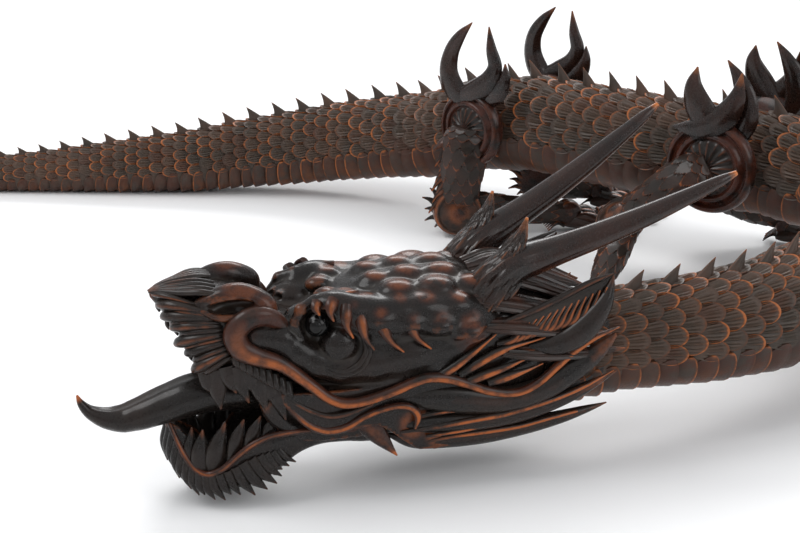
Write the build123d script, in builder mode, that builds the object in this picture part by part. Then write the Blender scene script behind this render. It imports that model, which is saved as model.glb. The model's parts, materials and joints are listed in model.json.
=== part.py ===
from build123d import *
import os
from collections import namedtuple
from math import cos, radians, sin

# An articulated wooden dragon. Millimetres, +Z up. The origin is on the floor, midway along and across the
# resting animal; the tail runs towards -X and the head looks towards -X from the -Y side.

# ---------------------------------------------------------------- driving dimensions
CHEST_PLACE = (185.5, 28.5)  # middle of the chest on the floor plan, which centres the whole animal
CHEST_HEIGHT = 47  # body axis above the floor at the chest
CHEST_HEADING = -36  # compass direction that the chest faces, counted from +X
GIRDLE_LENGTH = 32  # chest and pelvis rings, which carry the legs
GIRDLE_MIDDLE = 16  # the leg axis, counted from a girdle ring's head end
BODY_RADIUS = 19.2

# Neck rings in order from the chest: length, turn, climb, radius at the head end, pin
NECK = (
    (25, -11, -4, 19.0, "yaw"),
    (25, -27, -4, 18.8, "yaw"),
    (25, -27, -2, 18.5, "yaw"),
    (25, -26, 2, 18.2, "yaw"),
    (25, -11, 3, 17.7, "yaw"),
    (24, -6, 3, 17.0, "nod"),
    (24, -8, 3, 16.0, "yaw"),
    (24, -8, 0, 14.8, "yaw"),
)
# Trunk rings in order from the chest, then the pelvis: length, turn, drop, radius at the tail end, pin
TRUNK = ((25, -2, 0, 19.5, "yaw"), (25, -2, 0, 19.5, "nod"), (25, -2, 0, 19.5, "yaw"))
PELVIS = (GIRDLE_LENGTH, -2, 10, 18.8, "yaw")
# Tail rings in order from the pelvis, the same values
TAIL = (
    (26, 6, 8, 18.4, "yaw"),
    (25, 9, -8, 17.9, "yaw"),
    (25, 9, 0, 17.2, "yaw"),
    (24, 9, 0, 16.3, "yaw"),
    (24, 7, -2, 15.1, "yaw"),
    (23, 5, 0, 13.8, "yaw"),
    (23, 0, -4, 12.4, "nod"),
    (22, -1, 0, 10.9, "yaw"),
    (21, 0, 0, 9.3, "yaw"),
    (20, 0, -1, 8.2, "nod"),
    (19, 0, 0, 7.2, "yaw"),
    (18, 0, 0, 6.3, "yaw"),
    (17, 0, 0, 5.4, "yaw"),
)
TAIL_TIP = (66, 0, -1, 0.8, "yaw")

SWING = 32  # half angle that one ring joint is cut to clear
RIM_ANGLE = 88  # a sleeve's rim, counted from the tailward axis about the joint
SOCKET_ANGLE = 128  # how far the sleeve's round inside runs back
SPINE_HEIGHT = 0.42  # back spines, as a share of the ring's radius

HEAD_HEADING = -163  # direction the snout points
HEAD_SLEEVE = 26  # collar at the back of the skull
JAW_PIVOT = (78, 22.5)  # jaw pin in the head frame: forward, height above the floor
JAW_PIN_RADIUS = 1.5
JAW_PIN_REACH = 18  # half the length of the jaw pin
JAW_EYE_RADIUS = 6  # round ends that the jaw pin passes through
JAW_HALF_WIDTH = 13.5
JAW_SIDE_GAP = 0.4
CHEEK_THICKNESS = 4.2
CHEEK_TOP = 42
MOUTH_BACK = 62
MOUTH_FRONT = 140
MOUTH_ROOF = 31
TONGUE_PIVOT = (93, 17.5)
TONGUE_PIN_RADIUS = 1.2
TONGUE_EYE = (2.9, 3.8)  # radius and half width of the tongue's round root
TROUGH_HALF_WIDTH = 7.5  # the tongue's channel in the lower jaw
TROUGH_FLOOR = 11
EYE_CENTRE = (95, 15.5, 52)  # forward, out to the side, height
EYE_RADIUS = 5

# Limbs of the head, each section as forward, left, height, half width and half height
BRAINCASE = (
    (14, 0, 33, 15, 13),
    (40, 0, 37, 21, 20),
    (66, 0, 42, 22, 19),
    (88, 0, 46, 20, 14.5),
    (101, 0, 45, 16, 9.5),
)
SNOUT = (
    (97, 0, 46, 16, 9),
    (106, 0, 48, 14.5, 10.5),
    (118, 0, 50, 13.5, 11.5),
    (130, 0, 50, 10, 10),
    (136, 0, 51, 5, 5),
)
JAW = (
    (80, 0, 17.5, 12.5, 5),
    (98, 0, 12, 13, 6.5),
    (114, 0, 9.5, 11.5, 8),
    (127, 0, 10, 8, 8),
    (134, 0, 13.5, 4, 5.5),
)
TONGUE = (
    (93, 0, 18.5, 3.4, 2.6),
    (100, 0, 23.5, 3.8, 3.6),
    (112, 0, 29.5, 6, 4.8),
    (126, 0, 32, 6.5, 5.4),
    (138, 0, 29, 5.8, 4.6),
    (147, 0, 26, 4.8, 3.6),
    (153.5, 0, 27.5, 3.2, 2.4),
    (157.5, 0, 33.5, 0.9, 0.8),
)
# The left ones; the right ones are mirrored
HORN_BEAM = (
    (49, 12, 54, 5.5, 5.5),
    (40, 12.5, 62, 6, 5.5),
    (27, 13, 66.5, 4.6, 4.2),
)
HORN_TINE = (
    (42, 12.5, 60, 4.5, 4.5),
    (38, 13, 68, 2.8, 2.6),
    (37, 13.5, 75.5, 0.5, 0.5),
)
HORN_TIP_LEFT = (-24, 16, 84)
HORN_TIP_RIGHT = (-15, 16, 97)
EAR = (
    (38, 17, 41, 4, 4),
    (28, 21, 46, 3.6, 3.6),
    (20, 22.5, 51, 2.6, 2.6),
    (14, 22.5, 57, 0.5, 0.5),
)

HIP_RISE = 3  # leg axis above the body axis
HIP_FACE = 21.0  # inside face of a leg's round shoulder, from the body axis
HIP_THICKNESS = 8
HIP_RADIUS = 13
HIP_PIN_RADIUS = 2
BOSS_RADIUS = 4.5
KNEE_RADIUS = 8
ANKLE_RADIUS = 5
LIMB_PIN_RADIUS = 1.5
LAP_GAP = 0.25  # half the gap between two lapped limb ends
RUNNING = 0.1  # radial clearance of a turning pin
TOE_HINGE = (12.5, 4.0)  # toe pin ahead of the ankle, and above the floor
TOE_RADIUS = 2.6
TOE_WIDTH = 3.6
TOE_SPACING = 6.4
TOE_PIN_RADIUS = 0.8
TOE_SPLAY = 16  # how far the outer toes turn away from the middle one, in degrees
TOE_EAR = (2.2, 1.0)  # radius and half width of the paw's forks between the toes
HEEL_NOTCH = 2.4  # height of the paw's heel under the lower leg
ANKLE_HEIGHT = 8.5
FLAMES = ((4, -7, 33), (-6, 5, 31))  # lean of the root, sweep of the tip, height over the leg axis

# A toe from its hinge, each section as ahead, up, half width and half height
TOE = (
    (0, 0, 1.6, 2.2),
    (6, 1.4, 1.7, 2.0),
    (12, -1.2, 1.3, 1.5),
    (16, -3.4, 0.4, 0.4),
)

Ring = namedtuple("Ring", "name frame length head_radius tail_radius pin")
Leg = namedtuple("Leg", "name girdle side knee ankle toes")


# ---------------------------------------------------------------- directions and frames
def direction(heading, climb=0.0):
    """Unit vector of a compass heading and a climb, in degrees."""
    flat = cos(radians(climb))
    return Vector(flat * cos(radians(heading)), flat * sin(radians(heading)), sin(radians(climb)))


def ring_frame(head_end, heading, climb):
    """A ring's own frame: at its head end, x tailward along the ring, z up."""
    return Plane(origin=head_end, x_dir=-direction(heading, climb), z_dir=direction(heading, climb + 90))


def square_to(vector, normal):
    """The part of a vector that lies square to a unit normal, as a unit vector."""
    return (vector - normal * vector.dot(normal)).normalized()


def lay_out_rings():
    """Every body ring from the head to the tail tip, in the curve of the resting animal."""
    chest_middle = Vector(*CHEST_PLACE, CHEST_HEIGHT)
    chest_head_end = chest_middle + direction(CHEST_HEADING) * GIRDLE_MIDDLE
    chest = Ring(
        "chest", ring_frame(chest_head_end, CHEST_HEADING, 0), GIRDLE_LENGTH, BODY_RADIUS, BODY_RADIUS, "yaw"
    )

    neck = []
    place, heading, climb, radius = chest_head_end, CHEST_HEADING, 0, BODY_RADIUS
    for number, (length, turn, rise, head_radius, pin) in enumerate(NECK, 1):
        heading, climb = heading + turn, climb + rise
        place = place + direction(heading, climb) * length
        frame = ring_frame(place, heading, climb)
        neck.append((f"neck_{number}", frame, length, head_radius, radius, pin))
        radius = head_radius
    # Each pin sits at the head end of the ring behind it, so the neck's pins shift by one ring.
    pins = [entry[5] for entry in neck]
    chest = chest._replace(pin=pins[0])
    front = [
        Ring(name, frame, length, head_radius, tail_radius, pin)
        for (name, frame, length, head_radius, tail_radius, _), pin in zip(neck, pins[1:] + ["nod"])
    ]

    back = []
    place = chest_middle - direction(CHEST_HEADING) * (GIRDLE_LENGTH - GIRDLE_MIDDLE)
    heading, climb, radius = CHEST_HEADING, 0, BODY_RADIUS
    names = [f"trunk_{i}" for i in range(1, len(TRUNK) + 1)] + ["pelvis"]
    names += [f"tail_{i}" for i in range(1, len(TAIL) + 1)] + ["tail_tip"]
    for name, (length, turn, drop, tail_radius, pin) in zip(names, TRUNK + (PELVIS,) + TAIL + (TAIL_TIP,)):
        heading, climb = heading + turn, climb + drop
        frame = ring_frame(place, heading, climb)
        back.append(Ring(name, frame, length, radius, tail_radius, pin))
        place = place - direction(heading, climb) * length
        radius = tail_radius
    return front[::-1] + [chest] + back


RINGS = lay_out_rings()
RING_NAMED = {ring.name: ring for ring in RINGS}
NECK_END = RINGS[0].frame.origin
HEAD_FRAME = Plane(origin=(NECK_END.X, NECK_END.Y, 0), x_dir=direction(HEAD_HEADING), z_dir=(0, 0, 1))
SKULL_RING = Ring(
    "skull",
    ring_frame(NECK_END + direction(HEAD_HEADING) * HEAD_SLEEVE, HEAD_HEADING, 0),
    HEAD_SLEEVE,
    RINGS[0].head_radius,
    RINGS[0].head_radius,
    "none",
)


def in_head(forward, left, height):
    """A point given in the head frame, whose height is counted from the floor."""
    return HEAD_FRAME.from_local_coords(Vector(forward, left, height))


def pin_axis(ring, headward):
    """Axis of the pin at a ring's head end: upright for a yaw pin, level for a nod pin."""
    return headward.frame.z_dir if ring.pin == "yaw" else headward.frame.y_dir


# ---------------------------------------------------------------- ring sizes, all from the radius
def ball_radius(radius):
    return 0.887 * radius - 0.35


def joint_gap(radius):
    return 0.15 + 0.013 * radius


def lug_radius(radius):
    return 0.2 * radius


def ring_pin_radius(radius):
    return 0.07 * radius


def lug_levels(radius):
    """Heights of the fork's inner and outer faces beside the tongue."""
    return 0.19 * radius, 0.35 * radius


# ---------------------------------------------------------------- shapes used by many pieces
def tapered(points, widths, heights, side):
    """A round limb through points: an elliptic section at each, its width along the side direction."""
    with BuildPart() as limb:
        for index, point in enumerate(points):
            before = points[max(index - 1, 0)]
            after = points[min(index + 1, len(points) - 1)]
            forward = (Vector(after) - Vector(before)).normalized()
            with BuildSketch(Plane(origin=point, x_dir=square_to(Vector(side), forward), z_dir=forward)):
                Ellipse(widths[index], heights[index])
        loft()
    return limb.part


def disc(centre, axis, radius, start, end):
    """A round plate square to an axis, between two distances along it from the centre."""
    plane = Plane(origin=centre, z_dir=axis)
    with BuildPart() as plate:
        with BuildSketch(plane.offset(start)):
            Circle(radius)
        extrude(amount=end - start)
    return plate.part


def frame_box(frame, ahead, across, up):
    """A box in a frame, each side given as its low and high value."""
    with BuildPart() as box:
        with BuildSketch(frame.offset(up[0])):
            with Locations(((ahead[0] + ahead[1]) / 2, (across[0] + across[1]) / 2)):
                Rectangle(ahead[1] - ahead[0], across[1] - across[0])
        extrude(amount=up[1] - up[0])
    return box.part


def write(name, *pieces):
    """One STEP file for one node, holding each of its pieces as a solid of its own."""
    solids = [solid for piece in pieces for solid in piece.solids()]
    for number, solid in enumerate(solids, 1):
        solid.label = name if len(solids) == 1 else f"{name}_{number}"
    node = Compound(label=name, children=solids)
    export_step(node, f"parts/{name}.step")


# ---------------------------------------------------------------- body rings
def ring_shell(ring, has_ball=True, has_socket=True):
    """The turned wall of a ring: a ball at the head end, a sleeve over the next ring's ball."""
    front, rear, length = ring.head_radius, ring.tail_radius, ring.length
    shoulder = radians(RIM_ANGLE - SWING - 2)
    ball = ball_radius(front)
    clear = front + joint_gap(front)
    web_start = 0.32 * front
    foot = Vector(clear * cos(shoulder), clear * sin(shoulder))
    rim = length + cos(radians(RIM_ANGLE)) * rear if has_socket else length
    section_plane = Plane(origin=ring.frame.origin, x_dir=ring.frame.x_dir, z_dir=-ring.frame.y_dir)
    with BuildPart() as shell:
        with BuildSketch(section_plane):
            with BuildLine():
                Polyline(
                    (ball * cos(shoulder), 0),
                    (ball * cos(shoulder), ball * sin(shoulder)),
                    (foot.X, foot.Y),
                    (foot.X, 0.92 * front),
                    (foot.X + 0.08 * front, front),
                    (rim, rear),
                    (rim, 0),
                    close=True,
                )
            make_face()
            if has_ball:
                Circle(ball)
                Circle(0.86 * ball, mode=Mode.SUBTRACT)
            if has_socket:
                socket = ball_radius(rear) + joint_gap(rear)
                with Locations((length, 0)):
                    Circle(socket, mode=Mode.SUBTRACT)
                web_end = length + socket * cos(radians(SOCKET_ANGLE))
                web_top = socket * sin(radians(SOCKET_ANGLE)) + 0.05 * rear
            else:
                web_end = 0.9 * front
                web_top = 0.7 * front
            with BuildLine():
                Polyline(
                    (web_start, 0),
                    (web_start, ball * sin(shoulder) - 0.04 * front),
                    (ball * cos(shoulder), ball * sin(shoulder) - 0.04 * front),
                    (foot.X, web_top),
                    (web_end, web_top),
                    (web_end, 0),
                    close=True,
                )
            make_face()
            with Locations((-0.1 * front, 0)):
                Rectangle(2 * front, 2 * front, align=(Align.MAX, Align.CENTER), mode=Mode.SUBTRACT)
            Rectangle(4 * length, 4 * front, align=(Align.CENTER, Align.MAX), mode=Mode.SUBTRACT)
        revolve(axis=Axis(ring.frame.origin, ring.frame.x_dir))
    return shell.part


def ring_tongue(ring, axis):
    """The flat eye at the head end that the neighbour's pin passes through."""
    radius = ring.head_radius
    half = lug_levels(radius)[0] - joint_gap(radius) / 2
    reach = 0.32 * radius + 1
    plane = Plane(origin=ring.frame.origin, x_dir=square_to(ring.frame.x_dir, axis), z_dir=axis)
    with BuildPart() as tongue:
        with BuildSketch(plane.offset(-half)):
            Circle(lug_radius(radius))
            Rectangle(reach, 2 * lug_radius(radius), align=(Align.MIN, Align.CENTER))
            Circle(ring_pin_radius(radius) + RUNNING, mode=Mode.SUBTRACT)
        extrude(amount=2 * half)
    return tongue.part


def ring_fork(ring, axis):
    """Two lugs at the tail end, over and under the next ring's tongue, and the pin through them."""
    radius = ring.tail_radius
    inner, outer = lug_levels(radius)
    socket = ball_radius(radius) + joint_gap(radius)
    reach = -socket * cos(radians(SOCKET_ANGLE)) + 0.5
    joint = ring.frame.origin + ring.frame.x_dir * ring.length
    plane = Plane(origin=joint, x_dir=square_to(ring.frame.x_dir, axis), z_dir=axis)
    with BuildPart() as fork:
        with BuildSketch(plane.offset(inner), plane.offset(-outer)):
            Circle(lug_radius(radius))
            Rectangle(reach, 2 * lug_radius(radius), align=(Align.MAX, Align.CENTER))
            Circle(ring_pin_radius(radius), mode=Mode.SUBTRACT)
        extrude(amount=outer - inner)
    return fork.part, disc(joint, axis, ring_pin_radius(radius), -outer, outer)


def ring_spine(ring):
    """The low saw-tooth on a ring's back, leaning tailward."""
    radius = (ring.head_radius + ring.tail_radius) / 2
    start, tip, end = 0.55 * ring.length, 0.98 * ring.length, 0.9 * ring.length
    seat = min(ring.head_radius, ring.tail_radius) - 0.8
    plane = Plane(origin=ring.frame.origin, x_dir=ring.frame.x_dir, z_dir=-ring.frame.y_dir)
    thickness = 0.16 * radius
    with BuildPart() as spine:
        with BuildSketch(plane.offset(-thickness / 2)):
            with BuildLine():
                Polyline((start, seat), (tip, seat + 0.8 + SPINE_HEIGHT * radius), (end, seat), close=True)
            make_face()
        extrude(amount=thickness)
    return spine.part


def make_ring(ring, headward, tailward):
    """A whole ring, and the pin that hangs its tailward neighbour."""
    body = ring_shell(ring, has_socket=tailward is not None)
    body = body + ring_tongue(ring, pin_axis(ring, headward))
    if tailward is None:
        return body, []
    fork, pin = ring_fork(ring, pin_axis(tailward, ring))
    return body + fork + ring_spine(ring), [pin]


# ---------------------------------------------------------------- legs
def girdle_centre(name):
    """Where the leg axis crosses the middle of the chest or the pelvis."""
    frame = RING_NAMED[name].frame
    return frame.origin + frame.x_dir * GIRDLE_MIDDLE + Vector(0, 0, HIP_RISE)


def outward(leg):
    """Level direction out of the body at a leg; the frame's y points to the animal's right."""
    return RING_NAMED[leg.girdle].frame.y_dir * leg.side


def hip_point(leg):
    return girdle_centre(leg.girdle) + outward(leg) * HIP_FACE


def knee_axis(leg):
    """Pin axis square to the two bones of a leg, pointing away from the body."""
    upper = leg.knee - hip_point(leg)
    lower = leg.ankle - leg.knee
    axis = upper.cross(lower).normalized()
    return axis if axis.dot(outward(leg)) > 0 else -axis


def ankle_axis(leg):
    """Level pin axis across the foot, pointing the same way as the knee's."""
    across = Vector(0, 0, 1).cross(leg.toes - leg.ankle).normalized()
    return across if across.dot(outward(leg)) > 0 else -across


def leg_at(name, girdle, side, knee, lower, toe_heading):
    """A leg from its bones, each given as forward, outward and up in the girdle's level frame."""
    frame = RING_NAMED[girdle].frame
    out = frame.y_dir * side
    ahead = square_to(-frame.x_dir, Vector(0, 0, 1))
    hip = girdle_centre(girdle) + out * (HIP_FACE + HIP_THICKNESS / 2)
    knee_point = hip + ahead * knee[0] + out * knee[1] + Vector(0, 0, knee[2])
    ankle = knee_point + ahead * lower[0] + out * lower[1]
    ankle = Vector(ankle.X, ankle.Y, ANKLE_HEIGHT)
    return Leg(name, girdle, side, knee_point, ankle, ankle + direction(toe_heading) * 12)


# y of a ring frame points to the animal's right, so side is 1 for a right leg and -1 for a left leg
LEGS = (
    leg_at("fore_right", "chest", 1, (-30, 12, -24), (10, 32), -125),
    leg_at("fore_left", "chest", -1, (-22, 8, -27), (24, 18), -20),
    leg_at("hind_right", "pelvis", 1, (-6, 4, -36), (30, -38), 8),
    leg_at("hind_left", "pelvis", -1, (-8, 4, -34), (24, 16), -25),
)


def girdle_bosses(name):
    """Round pads on both flanks of a girdle ring, and the holes that the leg pins turn in."""
    frame = RING_NAMED[name].frame
    centre = girdle_centre(name)
    pads, holes = [], []
    for side in (1, -1):
        out = frame.y_dir * side
        pads.append(disc(centre, out, BOSS_RADIUS, HIP_FACE - 9, HIP_FACE - LAP_GAP))
        holes.append(disc(centre, out, HIP_PIN_RADIUS + RUNNING, HIP_FACE - 8, HIP_FACE + 1))
    return pads, holes


def make_upper_leg(leg):
    """The round shoulder and thigh down to the outer half of the knee, with its two pins."""
    out, bend = outward(leg), knee_axis(leg)
    hip = hip_point(leg)
    start = hip + out * (HIP_THICKNESS / 2)
    knee_middle = leg.knee + bend * 3.2
    points = (start, start * 0.55 + knee_middle * 0.45, knee_middle)
    bone = tapered(points, (3.6, 4.2, 2.7), (9.5, 8, 6.5), bend)
    shoulder = disc(hip, out, HIP_RADIUS, 0, HIP_THICKNESS)
    knee = disc(leg.knee, bend, KNEE_RADIUS, LAP_GAP, 6)
    clear_below = disc(leg.knee, bend, KNEE_RADIUS + 1.5, -9, LAP_GAP)
    clear_flank = disc(hip, out, 2 * HIP_RADIUS, -15, 0)
    pin_hole = disc(leg.knee, bend, LIMB_PIN_RADIUS, -8, 8)
    hip_pin = disc(girdle_centre(leg.girdle), out, HIP_PIN_RADIUS, HIP_FACE - 7.5, HIP_FACE + 4)
    knee_pin = disc(leg.knee, bend, LIMB_PIN_RADIUS, -6, 6)
    solid = shoulder + (bone - clear_flank) + knee - clear_below - pin_hole - hip_pin
    return solid, [hip_pin, knee_pin]


def make_lower_leg(leg):
    """From the inner half of the knee to the outer half of the ankle, with the ankle pin."""
    bend, level = knee_axis(leg), ankle_axis(leg)
    knee_middle = leg.knee - bend * 3.2
    ankle_middle = leg.ankle + level * 2.4
    points = (knee_middle, knee_middle * 0.5 + ankle_middle * 0.5, ankle_middle)
    bone = tapered(points, (2.7, 3.6, 2.0), (6.5, 5.5, 4), bend)
    knee = disc(leg.knee, bend, KNEE_RADIUS + 1, -6, -LAP_GAP)
    ankle = disc(leg.ankle, level, ANKLE_RADIUS, LAP_GAP, 4.4)
    clear_above = disc(leg.knee, bend, KNEE_RADIUS + 2.5, -LAP_GAP, 9)
    clear_foot = disc(leg.ankle, level, ANKLE_RADIUS + 1.5, -6, LAP_GAP)
    knee_hole = disc(leg.knee, bend, LIMB_PIN_RADIUS + RUNNING, -8, 8)
    ankle_hole = disc(leg.ankle, level, LIMB_PIN_RADIUS, -6, 6)
    ankle_pin = disc(leg.ankle, level, LIMB_PIN_RADIUS, -4.2, 4.4)
    solid = bone + knee + ankle - clear_above - clear_foot - knee_hole - ankle_hole
    return solid, [ankle_pin]


def foot_frame(leg):
    """On the floor under the ankle, x towards the toes."""
    return Plane(
        origin=(leg.ankle.X, leg.ankle.Y, 0), x_dir=(leg.toes - leg.ankle).normalized(), z_dir=(0, 0, 1)
    )


def make_foot(leg):
    """A flat-soled paw under the ankle, with forks for three toes and their shared pin."""
    frame, level = foot_frame(leg), ankle_axis(leg)
    hinge = frame.from_local_coords(Vector(TOE_HINGE[0], 0, TOE_HINGE[1]))
    across = frame.y_dir
    with BuildPart() as paw:
        with BuildSketch(frame):
            with Locations((1, 0)):
                Ellipse(9.5, 7.5)
        with BuildSketch(frame.offset(6)):
            with Locations((1.5, 0)):
                Ellipse(6.5, 5)
        loft()
    ankle = disc(leg.ankle, level, ANKLE_RADIUS, -4.2, -LAP_GAP)
    clear_leg = disc(leg.ankle, level, ANKLE_RADIUS + 1.5, -LAP_GAP, 9)
    hole = disc(leg.ankle, level, LIMB_PIN_RADIUS + RUNNING, -8, 8)
    lap_side = 1 if level.dot(across) > 0 else -1
    lap = sorted((-LAP_GAP * lap_side, 12 * lap_side))
    heel = frame_box(frame, (-14, 3), lap, (HEEL_NOTCH, 12))
    solid = paw.part - heel + ankle
    ear_radius, ear_half = TOE_EAR
    for offset in (-TOE_SPACING / 2, TOE_SPACING / 2):
        ear_plane = Plane(origin=hinge, x_dir=frame.x_dir, z_dir=across).offset(offset - ear_half)
        with BuildPart() as ear:
            with BuildSketch(ear_plane):
                Circle(ear_radius)
                Rectangle(9, 4, align=(Align.MAX, Align.CENTER))
            extrude(amount=2 * ear_half)
        solid = solid + ear.part
    pin = disc(hinge, across, TOE_PIN_RADIUS, -TOE_SPACING - 1.5, TOE_SPACING + 1.5)
    return solid - clear_leg - hole - pin, [pin]


def make_toes(leg):
    """Three clawed toes that turn together on the paw's pin."""
    frame = foot_frame(leg)
    hinge = frame.from_local_coords(Vector(TOE_HINGE[0], 0, TOE_HINGE[1]))
    across = frame.y_dir
    toes = []
    for place in (-1, 0, 1):
        middle = hinge + across * (place * TOE_SPACING)
        splay = radians(place * TOE_SPLAY)
        ahead = frame.x_dir * cos(splay) + across * sin(splay)
        points = [middle + ahead * section[0] + Vector(0, 0, section[1]) for section in TOE]
        widths = [section[2] for section in TOE]
        heights = [section[3] for section in TOE]
        claw = tapered(points, widths, heights, across)
        knuckle = disc(middle, across, TOE_RADIUS, -TOE_WIDTH / 2, TOE_WIDTH / 2)
        hole = disc(middle, across, TOE_PIN_RADIUS + RUNNING, -TOE_WIDTH, TOE_WIDTH)
        toes.append(claw + knuckle - hole)
    return toes


def make_flames(leg, seat):
    """Two horn-like flames that stand on the rim of a leg's round shoulder."""
    out = outward(leg)
    ahead = square_to(-RING_NAMED[leg.girdle].frame.x_dir, Vector(0, 0, 1))
    base = hip_point(leg) + out * (HIP_THICKNESS / 2)
    up = Vector(0, 0, 1)
    flames = []
    for lean, sweep, height in FLAMES:
        points = (
            base + ahead * lean + up * (HIP_RADIUS - 3),
            base + ahead * (lean + sweep * 0.2) + up * (HIP_RADIUS + 4),
            base + ahead * (lean + sweep * 0.6) + up * (HIP_RADIUS + 0.55 * (height - HIP_RADIUS)),
            base + ahead * (lean + sweep) + up * height,
        )
        flame = tapered(points, (3.2, 3.0, 2.2, 0.4), (4.2, 3.6, 2.4, 0.5), out)
        flames.append(flame - seat)
    return flames


# ---------------------------------------------------------------- head
def head_limb(sections):
    """A limb through head-frame sections of forward, left, height, half width and half height."""
    points = [in_head(*section[:3]) for section in sections]
    widths = [section[3] for section in sections]
    heights = [section[4] for section in sections]
    return tapered(points, widths, heights, HEAD_FRAME.y_dir)


def mirrored(sections, side):
    """Left sections as they are for side 1, or across the head's middle for side -1."""
    return [(forward, left * side, *rest) for forward, left, *rest in sections]


def head_box(forward, left, height):
    """A box in the head frame, each side given as its low and high value."""
    return frame_box(HEAD_FRAME, forward, left, height)


def head_pin(pivot, radius, half_length):
    """A round bar across the head at a pivot given as forward and height."""
    return disc(in_head(pivot[0], 0, pivot[1]), HEAD_FRAME.y_dir, radius, -half_length, half_length)


def make_cheek(side):
    """The plate that hangs from the skull and holds one end of the jaw pin."""
    forward, height = JAW_PIVOT
    inner = JAW_HALF_WIDTH + JAW_SIDE_GAP
    outward_axis = HEAD_FRAME.y_dir * side
    eye = disc(in_head(forward, side * inner, height), outward_axis, JAW_EYE_RADIUS, 0, CHEEK_THICKNESS)
    across = sorted((side * inner, side * (inner + CHEEK_THICKNESS)))
    return eye + head_box((forward - JAW_EYE_RADIUS, forward + JAW_EYE_RADIUS), across, (height, CHEEK_TOP))


def make_cranium():
    """The skull from the collar to the nose, with no seats cut for the loose pieces yet, and its neck pin."""
    shell = ring_shell(SKULL_RING, has_ball=False)
    socket_radius = ball_radius(SKULL_RING.tail_radius) + joint_gap(SKULL_RING.tail_radius)
    socket_room = Pos(*NECK_END) * Sphere(socket_radius) & head_box((-30, 15.2), (-30, 30), (0, 80))
    front = head_limb(BRAINCASE) + head_limb(SNOUT) - socket_room
    mouth_half_width = JAW_HALF_WIDTH + JAW_SIDE_GAP
    mouth = head_box((MOUTH_BACK, MOUTH_FRONT), (-mouth_half_width, mouth_half_width), (0, MOUTH_ROOF))
    palate_back = head_box((84, 127), (-9, 9), (MOUTH_ROOF - 1, 46))
    palate_front = head_box((126, MOUTH_FRONT), (-7.5, 7.5), (MOUTH_ROOF - 1, 43))
    fork, pin = ring_fork(SKULL_RING, pin_axis(RINGS[0], SKULL_RING))
    solid = shell + front - mouth - palate_back - palate_front + make_cheek(1) + make_cheek(-1) + fork
    return solid, pin


def make_horn(side, tip):
    """One antler: a thick ridged root, a short front tine and a long backswept beam."""
    root_height = HORN_BEAM[-1][2]
    beam = HORN_BEAM + ((8, 14.5, (root_height + tip[2]) / 2, 3.8, 3.6), tip + (0.8, 0.8))
    return head_limb(mirrored(beam, side)) + head_limb(mirrored(HORN_TINE, side))


def make_skull_group():
    """The skull and the pieces seated in it: horns, ears, eyes and the jaw pin."""
    cranium, neck_pin = make_cranium()
    horn_left = make_horn(1, HORN_TIP_LEFT)
    horn_right = make_horn(-1, HORN_TIP_RIGHT)
    ear_left = head_limb(mirrored(EAR, 1))
    ear_right = head_limb(mirrored(EAR, -1))
    forward, left, height = EYE_CENTRE
    eyes = [Pos(*in_head(forward, left * side, height)) * Sphere(EYE_RADIUS) for side in (1, -1)]
    jaw_pin = head_pin(JAW_PIVOT, JAW_PIN_RADIUS, JAW_PIN_REACH)
    skull = cranium
    for seated in (horn_left, horn_right, ear_left, ear_right, *eyes, jaw_pin):
        skull = skull - seated
    write("skull", skull, neck_pin)
    write("horn_left", horn_left)
    write("horn_right", horn_right)
    write("ear_left", ear_left)
    write("ear_right", ear_right)
    write("eyes", *eyes)
    write("jaw_pin", jaw_pin)


def make_jaw_group():
    """The lower jaw, with the channel and lugs for the tongue, then the tongue and its pin."""
    tongue_pin = head_pin(TONGUE_PIVOT, TONGUE_PIN_RADIUS, TROUGH_HALF_WIDTH - RUNNING)
    knob = head_pin(JAW_PIVOT, JAW_EYE_RADIUS, JAW_HALF_WIDTH)
    jaw_hole = head_pin(JAW_PIVOT, JAW_PIN_RADIUS + RUNNING, JAW_PIN_REACH + 2)
    trough = head_box((86, 127), (-TROUGH_HALF_WIDTH, TROUGH_HALF_WIDTH), (TROUGH_FLOOR, 40))
    lug_block = head_box((89, 97), (-TROUGH_HALF_WIDTH - RUNNING, TROUGH_HALF_WIDTH + RUNNING), (9, 20))
    lugs = lug_block - head_box((80, 100), (-4.2, 4.2), (TROUGH_FLOOR, 40))
    write("lower_jaw", head_limb(JAW) + knob - trough + lugs - jaw_hole - tongue_pin)
    write("tongue_pin", tongue_pin)
    root = head_pin(TONGUE_PIVOT, *TONGUE_EYE)
    hole = head_pin(TONGUE_PIVOT, TONGUE_PIN_RADIUS + RUNNING, 9)
    write("tongue", head_limb(TONGUE) + root - hole)


# ---------------------------------------------------------------- the whole animal
def main():
    os.makedirs("parts", exist_ok=True)
    make_skull_group()
    make_jaw_group()
    for index, ring in enumerate(RINGS):
        headward = RINGS[index - 1] if index else SKULL_RING
        tailward = RINGS[index + 1] if index + 1 < len(RINGS) else None
        body, pins = make_ring(ring, headward, tailward)
        if ring.name in ("chest", "pelvis"):
            pads, holes = girdle_bosses(ring.name)
            body = body + pads[0] + pads[1] - holes[0] - holes[1]
        write(ring.name, body, *pins)
    for leg in LEGS:
        upper, upper_pins = make_upper_leg(leg)
        write(f"{leg.name}_upper_leg", upper, *upper_pins)
        lower, lower_pins = make_lower_leg(leg)
        write(f"{leg.name}_lower_leg", lower, *lower_pins)
        foot, foot_pins = make_foot(leg)
        write(f"{leg.name}_foot", foot, *foot_pins)
        write(f"{leg.name}_toes", *make_toes(leg))
        write(f"{leg.name}_flames", *make_flames(leg, upper))


main()
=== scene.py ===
import functools
import json
import math

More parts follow.
